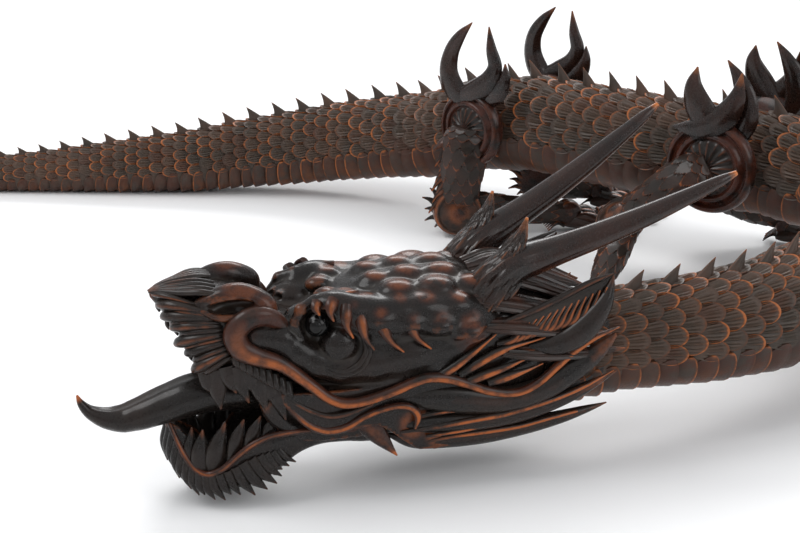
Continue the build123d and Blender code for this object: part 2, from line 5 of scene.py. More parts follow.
import bpy
import numpy as np
import openvdb
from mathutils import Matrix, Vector


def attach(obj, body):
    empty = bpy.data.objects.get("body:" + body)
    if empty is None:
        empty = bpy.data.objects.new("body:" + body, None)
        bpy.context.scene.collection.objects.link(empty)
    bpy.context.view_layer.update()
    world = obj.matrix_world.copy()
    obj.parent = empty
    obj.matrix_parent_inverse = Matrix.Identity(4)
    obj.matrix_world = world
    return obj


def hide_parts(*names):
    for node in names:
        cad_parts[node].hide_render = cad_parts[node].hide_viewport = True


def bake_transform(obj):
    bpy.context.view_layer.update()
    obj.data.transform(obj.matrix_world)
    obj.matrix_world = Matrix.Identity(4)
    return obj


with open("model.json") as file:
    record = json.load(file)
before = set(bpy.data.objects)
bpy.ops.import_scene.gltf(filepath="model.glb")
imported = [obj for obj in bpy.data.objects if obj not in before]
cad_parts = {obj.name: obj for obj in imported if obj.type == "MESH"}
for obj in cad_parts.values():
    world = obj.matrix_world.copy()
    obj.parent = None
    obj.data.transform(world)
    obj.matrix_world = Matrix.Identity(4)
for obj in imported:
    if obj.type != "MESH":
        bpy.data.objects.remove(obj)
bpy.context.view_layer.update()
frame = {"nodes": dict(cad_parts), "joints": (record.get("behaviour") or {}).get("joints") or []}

# Shapes are worked out in millimetres in the CAD frame and scaled to metres as each mesh is made.
MM = 0.001
rng = np.random.default_rng(11)


# ---------------------------------------------------------------- small maths
def vec(*values):
    return np.array(values, float)


def unit(vector):
    return vector / np.linalg.norm(vector)


def circle(count):
    """Evenly spaced angles round a full turn."""
    return np.linspace(0, 2 * np.pi, count, endpoint=False)


def powered(value, power):
    """A power that keeps the value's sign."""
    return np.sign(value) * np.abs(value) ** power


def smooth(low, high, value):
    """A soft step from 0 at low to 1 at high."""
    t = np.clip((value - low) / (high - low), 0, 1)
    return t * t * (3 - 2 * t)


def through(points, count):
    """A smooth curve through rows of numbers, sampled evenly by row (Catmull-Rom)."""
    points = np.asarray(points, float)
    padded = np.vstack([2 * points[0] - points[1], points, 2 * points[-1] - points[-2]])
    at = np.linspace(0, len(points) - 1, count)
    first = np.minimum(at.astype(int), len(points) - 2)
    t = (at - first)[:, None]
    a, b, c, d = (padded[first + k] for k in range(4))
    square, cube = 2 * a - 5 * b + 4 * c - d, 3 * b - a - 3 * c + d
    return 0.5 * (2 * b + (c - a) * t + square * t**2 + cube * t**3)


def place_of(joint):
    return np.array(joint["pos_m"]) / MM


def axis_of(joint):
    return np.array(joint["axis"])


# ---------------------------------------------------------------- meshes
SHARP_ANGLE = math.radians(42)
THINNEST = 0.05  # least half width of a limb


class Carving:
    """Collects closed shells with how worn they are (on scales also a painted highlight and sheen), their
    dust and redness, then becomes one Blender mesh.
    """

    def __init__(self):
        self.points, self.quads, self.paint = [], [], []
        self.count = 0

    def add(self, points, quads, wear=0.0, dust=0.0, red=0.0):
        points, quads = np.asarray(points, float).reshape(-1, 3), np.asarray(quads, int)
        a, b, c, d = (points[quads[:, k]] for k in range(4))
        if (a * (np.cross(b, c) + np.cross(c, d))).sum() < 0:  # turned inside out: reverse every face
            is_triangle = quads[:, 2] == quads[:, 3]
            quads = np.where(is_triangle[:, None], quads[:, [0, 2, 1, 1]], quads[:, [0, 3, 2, 1]])
        paint = np.zeros((len(points), 3))
        for column, value in enumerate((wear, dust, red)):
            paint[:, column] = np.asarray(value, float).reshape(-1) if np.ndim(value) else value
        self.points.append(points)
        self.quads.append(np.asarray(quads, int) + self.count)
        self.paint.append(paint)
        self.count += len(points)

    def move(self, turn, origin):
        """Turns the shells into the axes in a matrix's columns, then shifts them."""
        self.points = [points @ turn.T + origin for points in self.points]
        return self

    def build(self, name, material, slot):
        points, quads = np.vstack(self.points) * MM, np.vstack(self.quads)
        is_quad = quads[:, 2] != quads[:, 3]
        sizes = np.where(is_quad, 4, 3)
        loops = quads[np.column_stack([np.ones((len(quads), 3), bool), is_quad])]
        mesh = bpy.data.meshes.new(name)
        mesh.vertices.add(len(points))
        mesh.vertices.foreach_set("co", points.astype(np.float32).ravel())
        mesh.loops.add(len(loops))
        mesh.loops.foreach_set("vertex_index", loops.astype(np.int32))
        mesh.polygons.add(len(quads))
        starts = np.concatenate([[0], np.cumsum(sizes)[:-1]])
        mesh.polygons.foreach_set("loop_start", starts.astype(np.int32))
        mesh.polygons.foreach_set("use_smooth", np.ones(len(quads), bool))
        mesh.update(calc_edges=True)
        paint = np.vstack(self.paint)
        for column, label in enumerate(("wear", "dust", "red")):
            layer = mesh.attributes.new(label, "FLOAT", "POINT")
            layer.data.foreach_set("value", paint[:, column].astype(np.float32))
        mesh.validate()
        mesh.set_sharp_from_angle(angle=SHARP_ANGLE)
        mesh.materials.append(material)
        piece = bpy.data.objects.new(name, mesh)
        bpy.context.scene.collection.objects.link(piece)
        return piece


def grid_quads(rows, columns, wrap=False):
    """Quads of a grid of points stored row by row; wrap joins the last column to the first."""
    last = columns if wrap else columns - 1
    i, j = np.meshgrid(np.arange(rows - 1), np.arange(last), indexing="ij")
    k = (j + 1) % columns
    a, b = i * columns + j, i * columns + k
    return np.stack([a, b, b + columns, a + columns], -1).reshape(-1, 4)


def fan_quads(ring, centre):
    """Triangles from a closed ring of point numbers to one centre point."""
    ring = np.asarray(ring)
    after = np.roll(ring, -1)
    return np.stack([ring, after, np.full(len(ring), centre), np.full(len(ring), centre)], -1)


def add_tube(carving, rings, **paint):
    """A closed shell from stacked rings of points, shape (rows, columns, 3), capped at both ends."""
    rows, columns, _ = rings.shape
    body = rings.reshape(-1, 3)
    ends = np.vstack([rings[0].mean(0), rings[-1].mean(0)])
    quads = np.vstack(
        [
            grid_quads(rows, columns, wrap=True),
            fan_quads(np.arange(columns)[::-1], rows * columns),
            fan_quads(np.arange(columns) + (rows - 1) * columns, rows * columns + 1),
        ]
    )
    full = {}
    for key, value in paint.items():
        if np.ndim(value):
            value = np.asarray(value, float)
            value = np.concatenate([value.ravel(), [value[0].mean(), value[-1].mean()]])
        full[key] = value
    carving.add(np.vstack([body, ends]), quads, **full)


def limb_rings(path, width, height, up, around=14, profile="round", flutes=(0, 0.0)):
    """Cross-sections along a path. Width runs sideways and height along up; returns rings and their angle."""
    count = len(path)
    tangent = np.gradient(path, axis=0)
    tangent /= np.linalg.norm(tangent, axis=1)[:, None]
    up = np.broadcast_to(np.asarray(up, float), (count, 3))
    side = np.cross(tangent, up)
    side /= np.linalg.norm(side, axis=1)[:, None]
    raised = np.cross(side, tangent)
    angle = circle(around)
    c, s = np.cos(angle), np.sin(angle)
    if profile == "lock":  # flat underneath, a crest along the top
        across = powered(c, 0.9)
        rise = np.where(s > 0, np.abs(s) ** 1.7, s * 0.7)
    elif profile == "blade":  # sharp at both sides
        across, rise = powered(c, 0.7), powered(s, 1.6)
    else:
        across, rise = c, s
    swell = 1 + flutes[1] * np.cos(flutes[0] * angle)
    x = across * swell * width[:, None]
    y = rise * swell * height[:, None]
    rings = path[:, None] + x[..., None] * side[:, None] + y[..., None] * raised[:, None]
    return rings, np.broadcast_to(angle, (count, around))


def add_limb(carving, sections, up, steps=20, wear=(0.1, 0.0, 0.0), dust=0.0, red=0.0, band=0.86, **shape):
    """A limb through rows of x, y, z, half width, half height. Wear is given for all over, the crest and the
    tip. The crest is where the sine of the angle round the limb passes the band."""
    rows = through(sections, steps)
    width, height = np.maximum(rows[:, 3], THINNEST), np.maximum(rows[:, 4], THINNEST)
    rings, angle = limb_rings(rows[:, :3], width, height, up, **shape)
    along = np.linspace(0, 1, steps)[:, None]
    crest = smooth(band, 1.0, np.sin(angle))
    painted = wear[0] + wear[1] * crest * smooth(0.05, 0.3, along) + wear[2] * smooth(0.72, 1.0, along)
    shade = dust * (1 - crest) * (1 - 0.6 * along)
    add_tube(carving, rings, wear=painted, dust=shade + 0 * painted, red=red)


# ---------------------------------------------------------------- materials
REDNESS = (0.055, 0.014, 0.007)  # the stain where the mesh is painted red
DUST_COLOUR = (0.10, 0.082, 0.062)
MIX_FIRST, MIX_SECOND, MIX_RESULT = 6, 7, 2  # the colour sockets of a mix node


def wood(name, dark, brown, amber, rough, grain, coat, dusty):
    """Stained boxwood: dark lacquer over brown, worn through to amber where the mesh is painted so; the same
    amber is a painted highlight on scale ribs and a painted sheen on belly plates.
    """
    material = bpy.data.materials.new(name)
    material.use_nodes = True
    tree = material.node_tree
    nodes, links = tree.nodes, tree.links
    shader = nodes["Principled BSDF"]

    def node(kind, **settings):
        made = nodes.new(kind)
        for key, value in settings.items():
            if key in made.inputs:
                made.inputs[key].default_value = value
            else:
                setattr(made, key, value)
        return made

    def noise(scale, detail, rough_detail=0.6, stretch=None):
        made = node("ShaderNodeTexNoise", Scale=scale, Detail=detail, Roughness=rough_detail)
        if stretch:
            mapping = node("ShaderNodeMapping", Scale=stretch)
            links.new(place.outputs["Object"], mapping.inputs["Vector"])
            links.new(mapping.outputs[0], made.inputs["Vector"])
        else:
            links.new(place.outputs["Object"], made.inputs["Vector"])
        return made.outputs["Fac"]

    def ramp(source, low, high, bottom=0.0, top=1.0):
        made = node("ShaderNodeMapRange", interpolation_type="SMOOTHSTEP")
        for key, value in (("From Min", low), ("From Max", high), ("To Min", bottom), ("To Max", top)):
            made.inputs[key].default_value = value
        links.new(source, made.inputs["Value"])
        return made.outputs["Result"]

    def maths(operation, first, second):
        made = node("ShaderNodeMath", operation=operation, use_clamp=operation != "SUBTRACT")
        for index, value in enumerate((first, second)):
            if isinstance(value, (int, float)):
                made.inputs[index].default_value = value
            else:
                links.new(value, made.inputs[index])
        return made.outputs[0]

    def mix(share, first, second):
        made = node("ShaderNodeMix", data_type="RGBA")
        links.new(share, made.inputs["Factor"])
        for key, value in ((MIX_FIRST, first), (MIX_SECOND, second)):
            if isinstance(value, tuple):
                made.inputs[key].default_value = (*value, 1)
            else:
                links.new(value, made.inputs[key])
        return made.outputs[MIX_RESULT]

    place = node("ShaderNodeTexCoord")
    wear = node("ShaderNodeAttribute", attribute_name="wear").outputs["Fac"]
    dust = node("ShaderNodeAttribute", attribute_name="dust").outputs["Fac"]
    red = node("ShaderNodeAttribute", attribute_name="red").outputs["Fac"]
    broad = noise(55, 3)
    patch = noise(170, 4, 0.65)
    fine = noise(1500, 6, 0.7)
    fibre = noise(260, 8, 0.7, stretch=(6.0, 1.0, 1.0))

    colour = mix(ramp(broad, 0.35, 0.72), dark, brown)
    colour = mix(maths("MULTIPLY", ramp(fibre, 0.45, 0.75), 0.35), colour, brown)
    colour = mix(maths("MULTIPLY", red, ramp(patch, 0.3, 0.62)), colour, REDNESS)
    # The worn amount also carries a painted highlight on scale ribs and a painted sheen on belly plates, so
    # this amber is partly painted light.
    rubbed_and_sheen = maths("MULTIPLY", wear, ramp(patch, 0.25, 0.62, 0.35, 1.3))
    colour = mix(ramp(rubbed_and_sheen, 0.12, 0.55), colour, tuple(0.34 * a + 0.006 for a in amber))
    colour = mix(ramp(rubbed_and_sheen, 0.45, 0.95), colour, amber)
    settled = maths("MULTIPLY", dust, ramp(fine, 0.38, 0.62, 0.35, 1.0))
    colour = mix(maths("MULTIPLY", settled, dusty), colour, DUST_COLOUR)
    links.new(colour, shader.inputs["Base Color"])

    roughness = maths("ADD", ramp(fine, 0.3, 0.7, rough - 0.07, rough + 0.1), maths("MULTIPLY", settled, 0.3))
    links.new(roughness, shader.inputs["Roughness"])
    shader.inputs["Coat Weight"].default_value = coat
    shader.inputs["Coat Roughness"].default_value = 0.14
    shader.inputs["Specular IOR Level"].default_value = 0.14

    relief = maths("ADD", maths("MULTIPLY", fibre, 0.5), maths("MULTIPLY", fine, 0.5))
    bump = node("ShaderNodeBump", Strength=0.35 * grain, Distance=0.00025)
    links.new(relief, bump.inputs["Height"])
    links.new(bump.outputs[0], shader.inputs["Normal"])
    return material


SCALED = wood(
    "scaled_wood", (0.0370, 0.0285, 0.0238), (0.078, 0.0430, 0.0300), (0.31, 0.096, 0.0290),
    rough=0.38, grain=1.0, coat=0.14, dusty=0.42,
)
CARVED = wood(
    "carved_wood", (0.0072, 0.0058, 0.0052), (0.0150, 0.0085, 0.0064), (0.33, 0.085, 0.0180),
    rough=0.28, grain=0.55, coat=0.26, dusty=0.2,
)
HORNED = wood(
    "horn_wood", (0.0046, 0.0038, 0.0036), (0.0165, 0.0075, 0.0050), (0.42, 0.125, 0.028),
    rough=0.22, grain=0.6, coat=0.42, dusty=0.15,
)


# ---------------------------------------------------------------- body rings
JOINTS = {joint["name"]: joint for joint in frame["joints"]}
NECK = [f"neck_{k}" for k in range(8, 0, -1)]
TRUNK = [f"trunk_{k}" for k in range(1, 4)]
TAIL = [f"tail_{k}" for k in range(1, 14)]
RINGS = NECK + ["chest"] + TRUNK + ["pelvis"] + TAIL + ["tail_tip"]
RING_JOINTS = ["head_nod"] + [f"{name}_bend" for name in NECK + TRUNK + ["pelvis"] + TAIL + ["tail_tip"]]
UP = vec(0, 0, 1)
MID_SHARE = 0.25  # half length of the ring over a joint, as a share of the shorter CAD ring
ROW_PITCH = 6.3  # between rows of scales
TIP_ROWS = 9
TIP_RADIUS = 0.9
BELLY_HALF = math.radians(76)  # half angle that the belly plates cover
NOSE_LENGTH = 5.5  # how far a ring reaches under the one ahead
CORE_SIDES = 64
SCALE_RIBS = 6
SCALE_HALF_WIDTH = 0.56  # as a share of the space between scales
SCALE_REACH, PLATE_REACH = 1.75, 1.45  # length as a share of the space between rows
SCALE_WEAR_AND_SHEEN, PLATE_WEAR_AND_SHEEN = (0.43, 0.30), (0.50, 0.28)  # mean and spread of how worn, which also sets painted rib highlights and painted belly sheen
RED_SHARE = 0.25  # of the scales
LEAST_SCALED_RADIUS = 1.6
SPINE_HEIGHT = 0.36  # as a share of the ring's radius
SPINE_PITCH = 12.5
BLEND_REACH = 50.0  # half length of a line along a joint's axis, through the ring over that joint


def node_points(name):
    mesh = frame["nodes"][name].data
    points = np.zeros(len(mesh.vertices) * 3, np.float32)
    mesh.vertices.foreach_get("co", points)
    return points.reshape(-1, 3).astype(float) / MM


def ring_layout():
    """Joint places from head to tail, and the radius at each, measured on the CAD rings."""
    places = [place_of(JOINTS[name]) for name in RING_JOINTS]
    tip = node_points("tail_tip")
    places.append(tip[np.argmax(np.linalg.norm(tip - places[-1], axis=1))])
    radii = []
    for index, name in enumerate(RINGS):
        start, end = places[index], places[index + 1]
        along = unit(end - start)
        length = np.linalg.norm(end - start)
        side = unit(np.cross(UP, along))
        offset = node_points(name) - start
        s = offset @ along
        radial = offset - s[:, None] * along
        rho = np.linalg.norm(radial, axis=1)
        flank = np.abs(radial @ side) > 0.5 * rho
        if index == 0:
            radii.append(rho[flank & (s < 0.6 * length)].max())
        rim = flank & (s > length - 2)
        radii.append(rho[rim].max() if name != "tail_tip" else TIP_RADIUS)
    return places, radii


PLACES, RADII = ring_layout()


def add_core(carving, length, front, rear, closed_tip=False):
    """The turned wall under the scales: a nose that slips under the ring ahead, and an open sleeve behind."""
    nose = min(NOSE_LENGTH, 0.45 * length)
    if closed_tip:
        profile = [(-nose, 0.72 * front), (-0.4 * nose, 0.82 * front), (0, 0.86 * front)]
        profile += [(length * t, (1 - t) * 0.9 * front + t * rear) for t in np.linspace(0.04, 1, 16)]
    else:
        profile = [
            (-nose, 0.70 * front),
            (-0.5 * nose, 0.80 * front),
            (0.0, 0.87 * front),
            (0.4 * length, 0.91 * (0.6 * front + 0.4 * rear)),
            (length - 0.4, 0.935 * rear),
            (length + 0.1, 0.93 * rear),
            (length + 0.1, 0.88 * rear),
            (length - 0.3 * nose, 0.865 * rear),
            (length - nose, 0.85 * rear),
        ]
    profile = np.array(profile)
    angle = circle(CORE_SIDES)
    rings = np.zeros((len(profile), CORE_SIDES, 3))
    rings[..., 0] = profile[:, :1]
    rings[..., 1] = profile[:, 1:] * np.sin(angle)
    rings[..., 2] = profile[:, 1:] * np.cos(angle)
    add_tube(carving, rings, wear=0.05, dust=0.5)


def add_scale(carving, tip, centre, half_angle, radius, length, wear, red, lift=0.0, belly=False):
    """One overlapping scale: a fan of ribs with a rounded worn rim, its edges sunk into the ring, with a
    painted highlight on rib crests and a painted sheen on belly centres.
    """
    columns = 25 if not belly else 29
    down = np.array([0.0, 0.25, 0.45, 0.6, 0.72, 0.82, 0.9, 0.96, 1.0])
    tau = np.linspace(-1, 1, columns)
    t = np.sin(tau * np.pi / 2)
    rounding = (0.50 if belly else 0.42) * length
    end = tip - rounding * (1 - np.cos(tau * np.pi / 2))
    root = tip - length
    v, tt = np.meshgrid(down, t, indexing="ij")
    opening = np.sin(np.minimum(v * 1.15, 1) * np.pi / 2)
    spread = (0.86 if belly else 0.66) + (0.14 if belly else 0.34) * opening
    x = root + v * (end[None] - root)
    theta = centre + half_angle * tt * spread
    dome = (1 - tt**2) * (0.035 if not belly else 0.02) * np.sin(v * np.pi / 2)
    rho = radius * (0.88 + (0.125 + lift) * v**0.9 + dome)
    if belly:
        rho = rho + radius * 0.03 * np.sin(np.pi * v)
    else:
        envelope = smooth(0.2, 0.45, v) * (1 - smooth(0.86, 0.95, v)) * (1 - 0.5 * tt**2)
        rho = rho + 0.020 * radius * np.cos(2 * np.pi * SCALE_RIBS * tt / 2) * envelope
    rim = np.maximum(smooth(0.90, 0.985, v), smooth(0.93, 0.995, np.abs(tt)) * smooth(0.55, 0.85, v))
    rho = rho + 0.008 * radius * rim
    painted = rim * wear + 0.10
    if not belly:
        # Rib crests painted lighter: partly worn, partly a painted highlight standing for light on the ribs.
        crests = smooth(0.1, 1.0, np.cos(np.pi * SCALE_RIBS * tt))
        painted = painted + (0.06 + 0.28 * wear) * crests * smooth(0.35, 0.9, v)
    else:
        # Belly plate centres painted amber: partly worn, partly a painted sheen.
        painted = painted + 0.42 * wear * (1 - tt**2) * np.sin(np.pi * np.clip(v * 1.1 - 0.1, 0, 1))
    shade = 0.75 * (1 - rim) * (0.35 if belly else 1.0)
    top = np.stack([x, rho * np.sin(theta), rho * np.cos(theta)], -1)
    # Skirt: the outline again, pushed down into the ring, then one flat bottom.
    outline = np.concatenate(
        [
            np.arange(columns) + (len(down) - 1) * columns,
            (np.arange(len(down) - 2, -1, -1) * columns) + columns - 1,
            np.arange(columns - 2, -1, -1),
            np.arange(1, len(down) - 1) * columns,
        ]
    )
    flat = top.reshape(-1, 3)
    below = flat[outline].copy()
    sink = 0.085 * radius + 0.15
    radial = np.linalg.norm(below[:, 1:], axis=1)
    below[:, 1:] *= ((radial - sink) / radial)[:, None]
    centre_point = below.mean(0)
    radial = np.linalg.norm(centre_point[1:])
    centre_point[1:] *= (0.86 * radius) / radial
    base = len(flat)
    ring = np.arange(len(outline)) + base
    around = np.stack([outline, np.roll(outline, -1), np.roll(ring, -1), ring], -1)
    quads = np.vstack([grid_quads(len(down), columns)[:, ::-1], around[:, ::-1],
                       fan_quads(ring[::-1], base + len(ring))])
    points = np.vstack([flat, below, centre_point])
    extra = len(outline) + 1
    flat_wear_and_sheen = np.concatenate([painted.ravel(), np.full(extra, 0.35 * wear)])
    flat_dust = np.concatenate([shade.ravel(), np.full(extra, 0.8)])
    carving.add(points, quads, wear=flat_wear_and_sheen, dust=flat_dust, red=red)


def add_spine(carving, start, end, radius, height):
    """A saw-tooth on the back: a ridge-sided blade that leans tailward."""
    base = 0.93 * radius
    length = end - start
    levels = np.linspace(0, 1, 9)
    head_edge = start + length * 0.98 * levels**1.15
    tail_edge = end + length * (0.02 * levels + 0.06 * np.sin(np.pi * levels) * -1)
    width = 0.095 * radius * (1 - levels) ** 0.8 + 0.12
    angle = circle(12)
    rings = np.zeros((9, 12, 3))
    for k, level in enumerate(levels):
        middle, half = (head_edge[k] + tail_edge[k]) / 2, max((tail_edge[k] - head_edge[k]) / 2, 0.12)
        rings[k, :, 0] = middle + half * powered(np.cos(angle), 0.8)
        rings[k, :, 1] = width[k] * powered(np.sin(angle), 1.3)
        rings[k, :, 2] = base + (height + 0.07 * radius) * level
    ends = smooth(0.9, 1, np.abs(np.cos(angle)))[None]
    painted = 0.08 + 0.5 * smooth(0.8, 1, levels)[:, None] + 0.35 * ends
    add_tube(carving, rings, wear=painted, dust=0.25)


def carve_ring(length, front, rear, parity, rows, tip=False):
    """One ring in its own frame: x tailward, y to the animal's right, z up."""
    carving = Carving()
    add_core(carving, length, front, rear, closed_tip=tip)
    pitch = length / rows
    for row in range(rows):
        tip_x = (row + 1) * pitch + 0.10 * pitch
        share = (row + 1) / rows
        radius = front + (rear - front) * share
        if radius < LEAST_SCALED_RADIUS:
            continue
        across = 5 if radius > 11 else (4 if radius > 7 else 3)
        half_arc = (math.pi - BELLY_HALF) / across
        offset = 0 if (parity + row) % 2 else 0.5
        places = np.arange(-across + offset, across + 0.25, 1.0)
        scale_length = min(SCALE_REACH * pitch, tip_x + NOSE_LENGTH)
        for place in places:
            if abs(place) > across - 0.2:
                continue
            # Each scale's worn amount, which also sets the painted highlight on its rib crests.
            wear = float(np.clip(rng.normal(*SCALE_WEAR_AND_SHEEN), 0.02, 1.0))
            lift = float(rng.normal(0, 0.006))
            red = float(rng.random() < RED_SHARE) * 0.6
            half_width = SCALE_HALF_WIDTH * half_arc
            add_scale(carving, tip_x, place * half_arc, half_width, radius, scale_length, wear, red, lift)
        # Each belly plate's worn amount, which also sets the painted sheen on its centre.
        wear = float(np.clip(rng.normal(*PLATE_WEAR_AND_SHEEN), 0.1, 1.0))
        red = float(0.5 + 0.5 * rng.random())
        plate_length = min(PLATE_REACH * pitch, tip_x + NOSE_LENGTH)
        add_scale(carving, tip_x, math.pi, BELLY_HALF * 1.08, radius, plate_length, wear, red, belly=True)
    if not tip:
        count = max(1, round(length / SPINE_PITCH))
        for k in range(count):
            middle = length * (k + 0.62) / count
            mean = (front + rear) / 2
            reach = min(0.30 * mean, 0.3 * length / count) + 0.2
            add_spine(carving, middle - reach, middle + reach, mean, SPINE_HEIGHT * mean)
    return carving


def place_ring(carving, origin, along):
    """Moves a ring from its own frame to where it sits on the body."""
    side = unit(np.cross(UP, along))
    raised = np.cross(along, side)
    carving.move(np.column_stack([along, side, raised]), origin)


def make_rings():
    halves = []
    lengths = [np.linalg.norm(b - a) for a, b in zip(PLACES, PLACES[1:])]
    for index in range(len(RINGS)):
        before = lengths[index - 1] if index else lengths[0]
        halves.append(MID_SHARE * min(before, lengths[index]))
    parity = 0
    for index, name in enumerate(RINGS):
        along = unit(PLACES[index + 1] - PLACES[index])
        headward = along if index == 0 else unit(PLACES[index] - PLACES[index - 1])
        # The ring over the joint at this CAD ring's head end, laid along the mean of the two rings'
        # directions.
        half = halves[index]
        middle = unit(along + headward)
        radius = RADII[index]
        slope = (RADII[index + 1] - radius) / lengths[index] * half
        over = carve_ring(2 * half, radius - slope, radius + slope, parity, 2)
        parity += 2
        place_ring(over, PLACES[index] - middle * half, middle)
        piece = over.build(f"ring_over_{RING_JOINTS[index]}", SCALED, "scaled_wood")
        reach = axis_of(JOINTS[RING_JOINTS[index]]) * BLEND_REACH
        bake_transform(piece)
        # The ring carried by the CAD ring itself.
        last = name == "tail_tip"
        end = lengths[index] - (0 if last else halves[index + 1])
        length = end - half
        rows = max(2, round(length / ROW_PITCH)) if not last else TIP_ROWS
        front = radius + (RADII[index + 1] - radius) * half / lengths[index]
        rear = radius + (RADII[index + 1] - radius) * end / lengths[index]
        own = carve_ring(length, front, rear, parity, rows, tip=last)
        parity += rows
        place_ring(own, PLACES[index] + along * half, along)
        piece = own.build(f"ring_{name}", SCALED, "scaled_wood")
        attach(piece, name)
        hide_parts(name)


make_rings()


# ---------------------------------------------------------------- solid forms on a grid
def largest(*fields):
    """The greatest of several fields that may each vary along only some of the axes."""
    return functools.reduce(np.maximum, fields)


class Form:
    """A distance field on a regular grid, mirrored left to right, that forms are joined to and cut from."""

    def __init__(self, low, high, step):
        self.low, self.step = np.array(low, float), step
        shape = np.ceil((np.array(high, float) - self.low) / step).astype(int) + 1
        self.axes = [self.low[k] + np.arange(shape[k]) * step for k in range(3)]
        self.value = np.full(shape, 30.0, np.float32)

    def window(self, low, high):
        spans = []
        for k in range(3):
            first = int(np.clip((low[k] - self.low[k]) / self.step, 0, self.value.shape[k] - 1))
            last = int(np.clip((high[k] - self.low[k]) / self.step + 2, 1, self.value.shape[k]))
            spans.append(slice(first, max(last, first + 1)))
        x, y, z = (axis[span] for axis, span in zip(self.axes, spans))
        return tuple(spans), x[:, None, None], np.abs(y)[None, :, None], z[None, None, :]

    def join(self, shape, low, high, soft=1.0, cut=False):
        """Adds a shape, or cuts it away, within a box whose y runs over both sides."""
        low, high = np.array(low, float), np.array(high, float)
        reach = max(abs(low[1]), abs(high[1]))
        spans, x, y, z = self.window((low[0], -reach, low[2]), (high[0], reach, high[2]))
        new, old = shape(x, y, z), self.value[spans]
        if cut:
            blend = np.maximum(soft - np.abs(old + new), 0) / soft
            self.value[spans] = np.maximum(old, -new) + blend**2 * soft / 4
        else:
            blend = np.maximum(soft - np.abs(old - new), 0) / soft
            self.value[spans] = np.minimum(old, new) - blend**2 * soft / 4

    def rope(self, sections, soft=1.0, cut=False):
        """Round segments through rows of x, y, z, radius."""
        rows = np.array(sections, float)
        for a, b in zip(rows, rows[1:]):
            radius = max(a[3], b[3]) + soft + 1
            low, high = np.minimum(a[:3], b[:3]) - radius, np.maximum(a[:3], b[:3]) + radius

            def segment(x, y, z, a=a, b=b):
                d = b[:3] - a[:3]
                t = ((x - a[0]) * d[0] + (y - a[1]) * d[1] + (z - a[2]) * d[2]) / (d @ d + 1e-9)
                t = np.clip(t, 0, 1)
                gap = (x - a[0] - t * d[0]) ** 2 + (y - a[1] - t * d[1]) ** 2 + (z - a[2] - t * d[2]) ** 2
                return np.sqrt(gap) - (a[3] + t * (b[3] - a[3]))

            self.join(segment, low, high, soft, cut)

    def ball(self, centre, radii, soft=1.0, cut=False, pitch=0.0):
        """An ellipsoid, turned about the sideways axis by a pitch in degrees."""
        centre, radii = np.array(centre, float), np.broadcast_to(np.array(radii, float), (3,))
        c, s = math.cos(math.radians(pitch)), math.sin(math.radians(pitch))

        def shape(x, y, z):
            u, w = x - centre[0], z - centre[2]
            ahead, rise = (u * c + w * s) / radii[0], (w * c - u * s) / radii[2]
            q = np.sqrt(ahead**2 + ((y - centre[1]) / radii[1]) ** 2 + rise**2)
            return (q - 1) * radii.min()

        reach = radii.max() + soft + 1
        self.join(shape, centre - reach, centre + reach, soft, cut)

    def loft(self, table, soft=1.0):
        """Rounded sections along x: rows of x, top, bottom, half width and squareness."""
        table = np.array(table, float)
        rows = through(table, 8 * len(table))
        rows[:, 0] = np.maximum.accumulate(rows[:, 0])

        def shape(x, y, z):
            top, bottom, width, square = (np.interp(x, rows[:, 0], rows[:, k]) for k in range(1, 5))
            middle, half = (top + bottom) / 2, (top - bottom) / 2
            q = ((y / width) ** square + (np.abs(z - middle) / half) ** square) ** (1 / square)
            side = (q - 1) * np.minimum(width, half)
            return np.maximum(side, np.maximum(rows[0, 0] - x, x - rows[-1, 0]))

        self.join(shape, self.low, [axis[-1] for axis in self.axes], soft)

    def surface(self):
        """Points and quads of the surface, with how convex and how hollow each point is."""
        blurred = self.value
        for axis in range(3):
            for _ in range(2):
                blurred = (np.roll(blurred, 1, axis) + 2 * blurred + np.roll(blurred, -1, axis)) / 4
        slopes = np.gradient(blurred, self.step)
        size = np.sqrt(sum(slope**2 for slope in slopes)) + 1e-6
        bend = sum(np.gradient(slope / size, self.step, axis=k) for k, slope in enumerate(slopes))
        grid = openvdb.FloatGrid(30.0)
        grid.copyFromArray(self.value)
        points, triangles, quads = grid.convertToPolygons(isovalue=0.0, adaptivity=0.0)
        points, quads = np.asarray(points, float), np.asarray(quads, int)
        near = tuple(np.clip(np.rint(points[:, k]).astype(int), 0, self.value.shape[k] - 1) for k in range(3))
        if len(triangles):
            triangles = np.asarray(triangles, int)
            quads = np.vstack([quads, np.column_stack([triangles, triangles[:, 2]])])
        return points * self.step + self.low, quads, bend[near]

    def carve_into(self, carving, spots=(), edge=(0.22, 0.60), edge_wear=0.8, dust=0.7, red=0.0):
        """Adds the surface, worn on edges and dusty in hollows. Spots are x, y, z, radius, wear, red."""
        points, quads, bend = self.surface()
        worn = edge_wear * smooth(edge[0], edge[1], bend)
        hollow = dust * smooth(0.05, 0.45, -bend)
        reds = np.full(len(points), float(red))
        for x, y, z, radius, wear, redness in spots:
            gap = np.sqrt((points[:, 0] - x) ** 2 + (np.abs(points[:, 1]) - y) ** 2 + (points[:, 2] - z) ** 2)
            share = 1 - smooth(0.45 * radius, radius, gap)
            worn, reds = np.maximum(worn, wear * share), np.maximum(reds, redness * share)
            hollow = hollow * (1 - 0.7 * share)
        carving.add(points, quads, wear=worn, dust=hollow, red=reds)


# ---------------------------------------------------------------- head
FLAT = vec(1, 1, 0)
HEAD_JOINT = place_of(JOINTS["head_nod"])
HEAD_FORWARD = unit((place_of(JOINTS["jaw_open"]) - HEAD_JOINT) * FLAT)
HEAD_LEFT = np.cross(UP, HEAD_FORWARD)
HEAD_TURN = np.column_stack([HEAD_FORWARD, HEAD_LEFT, UP])
HEAD_ORIGIN = HEAD_JOINT * FLAT


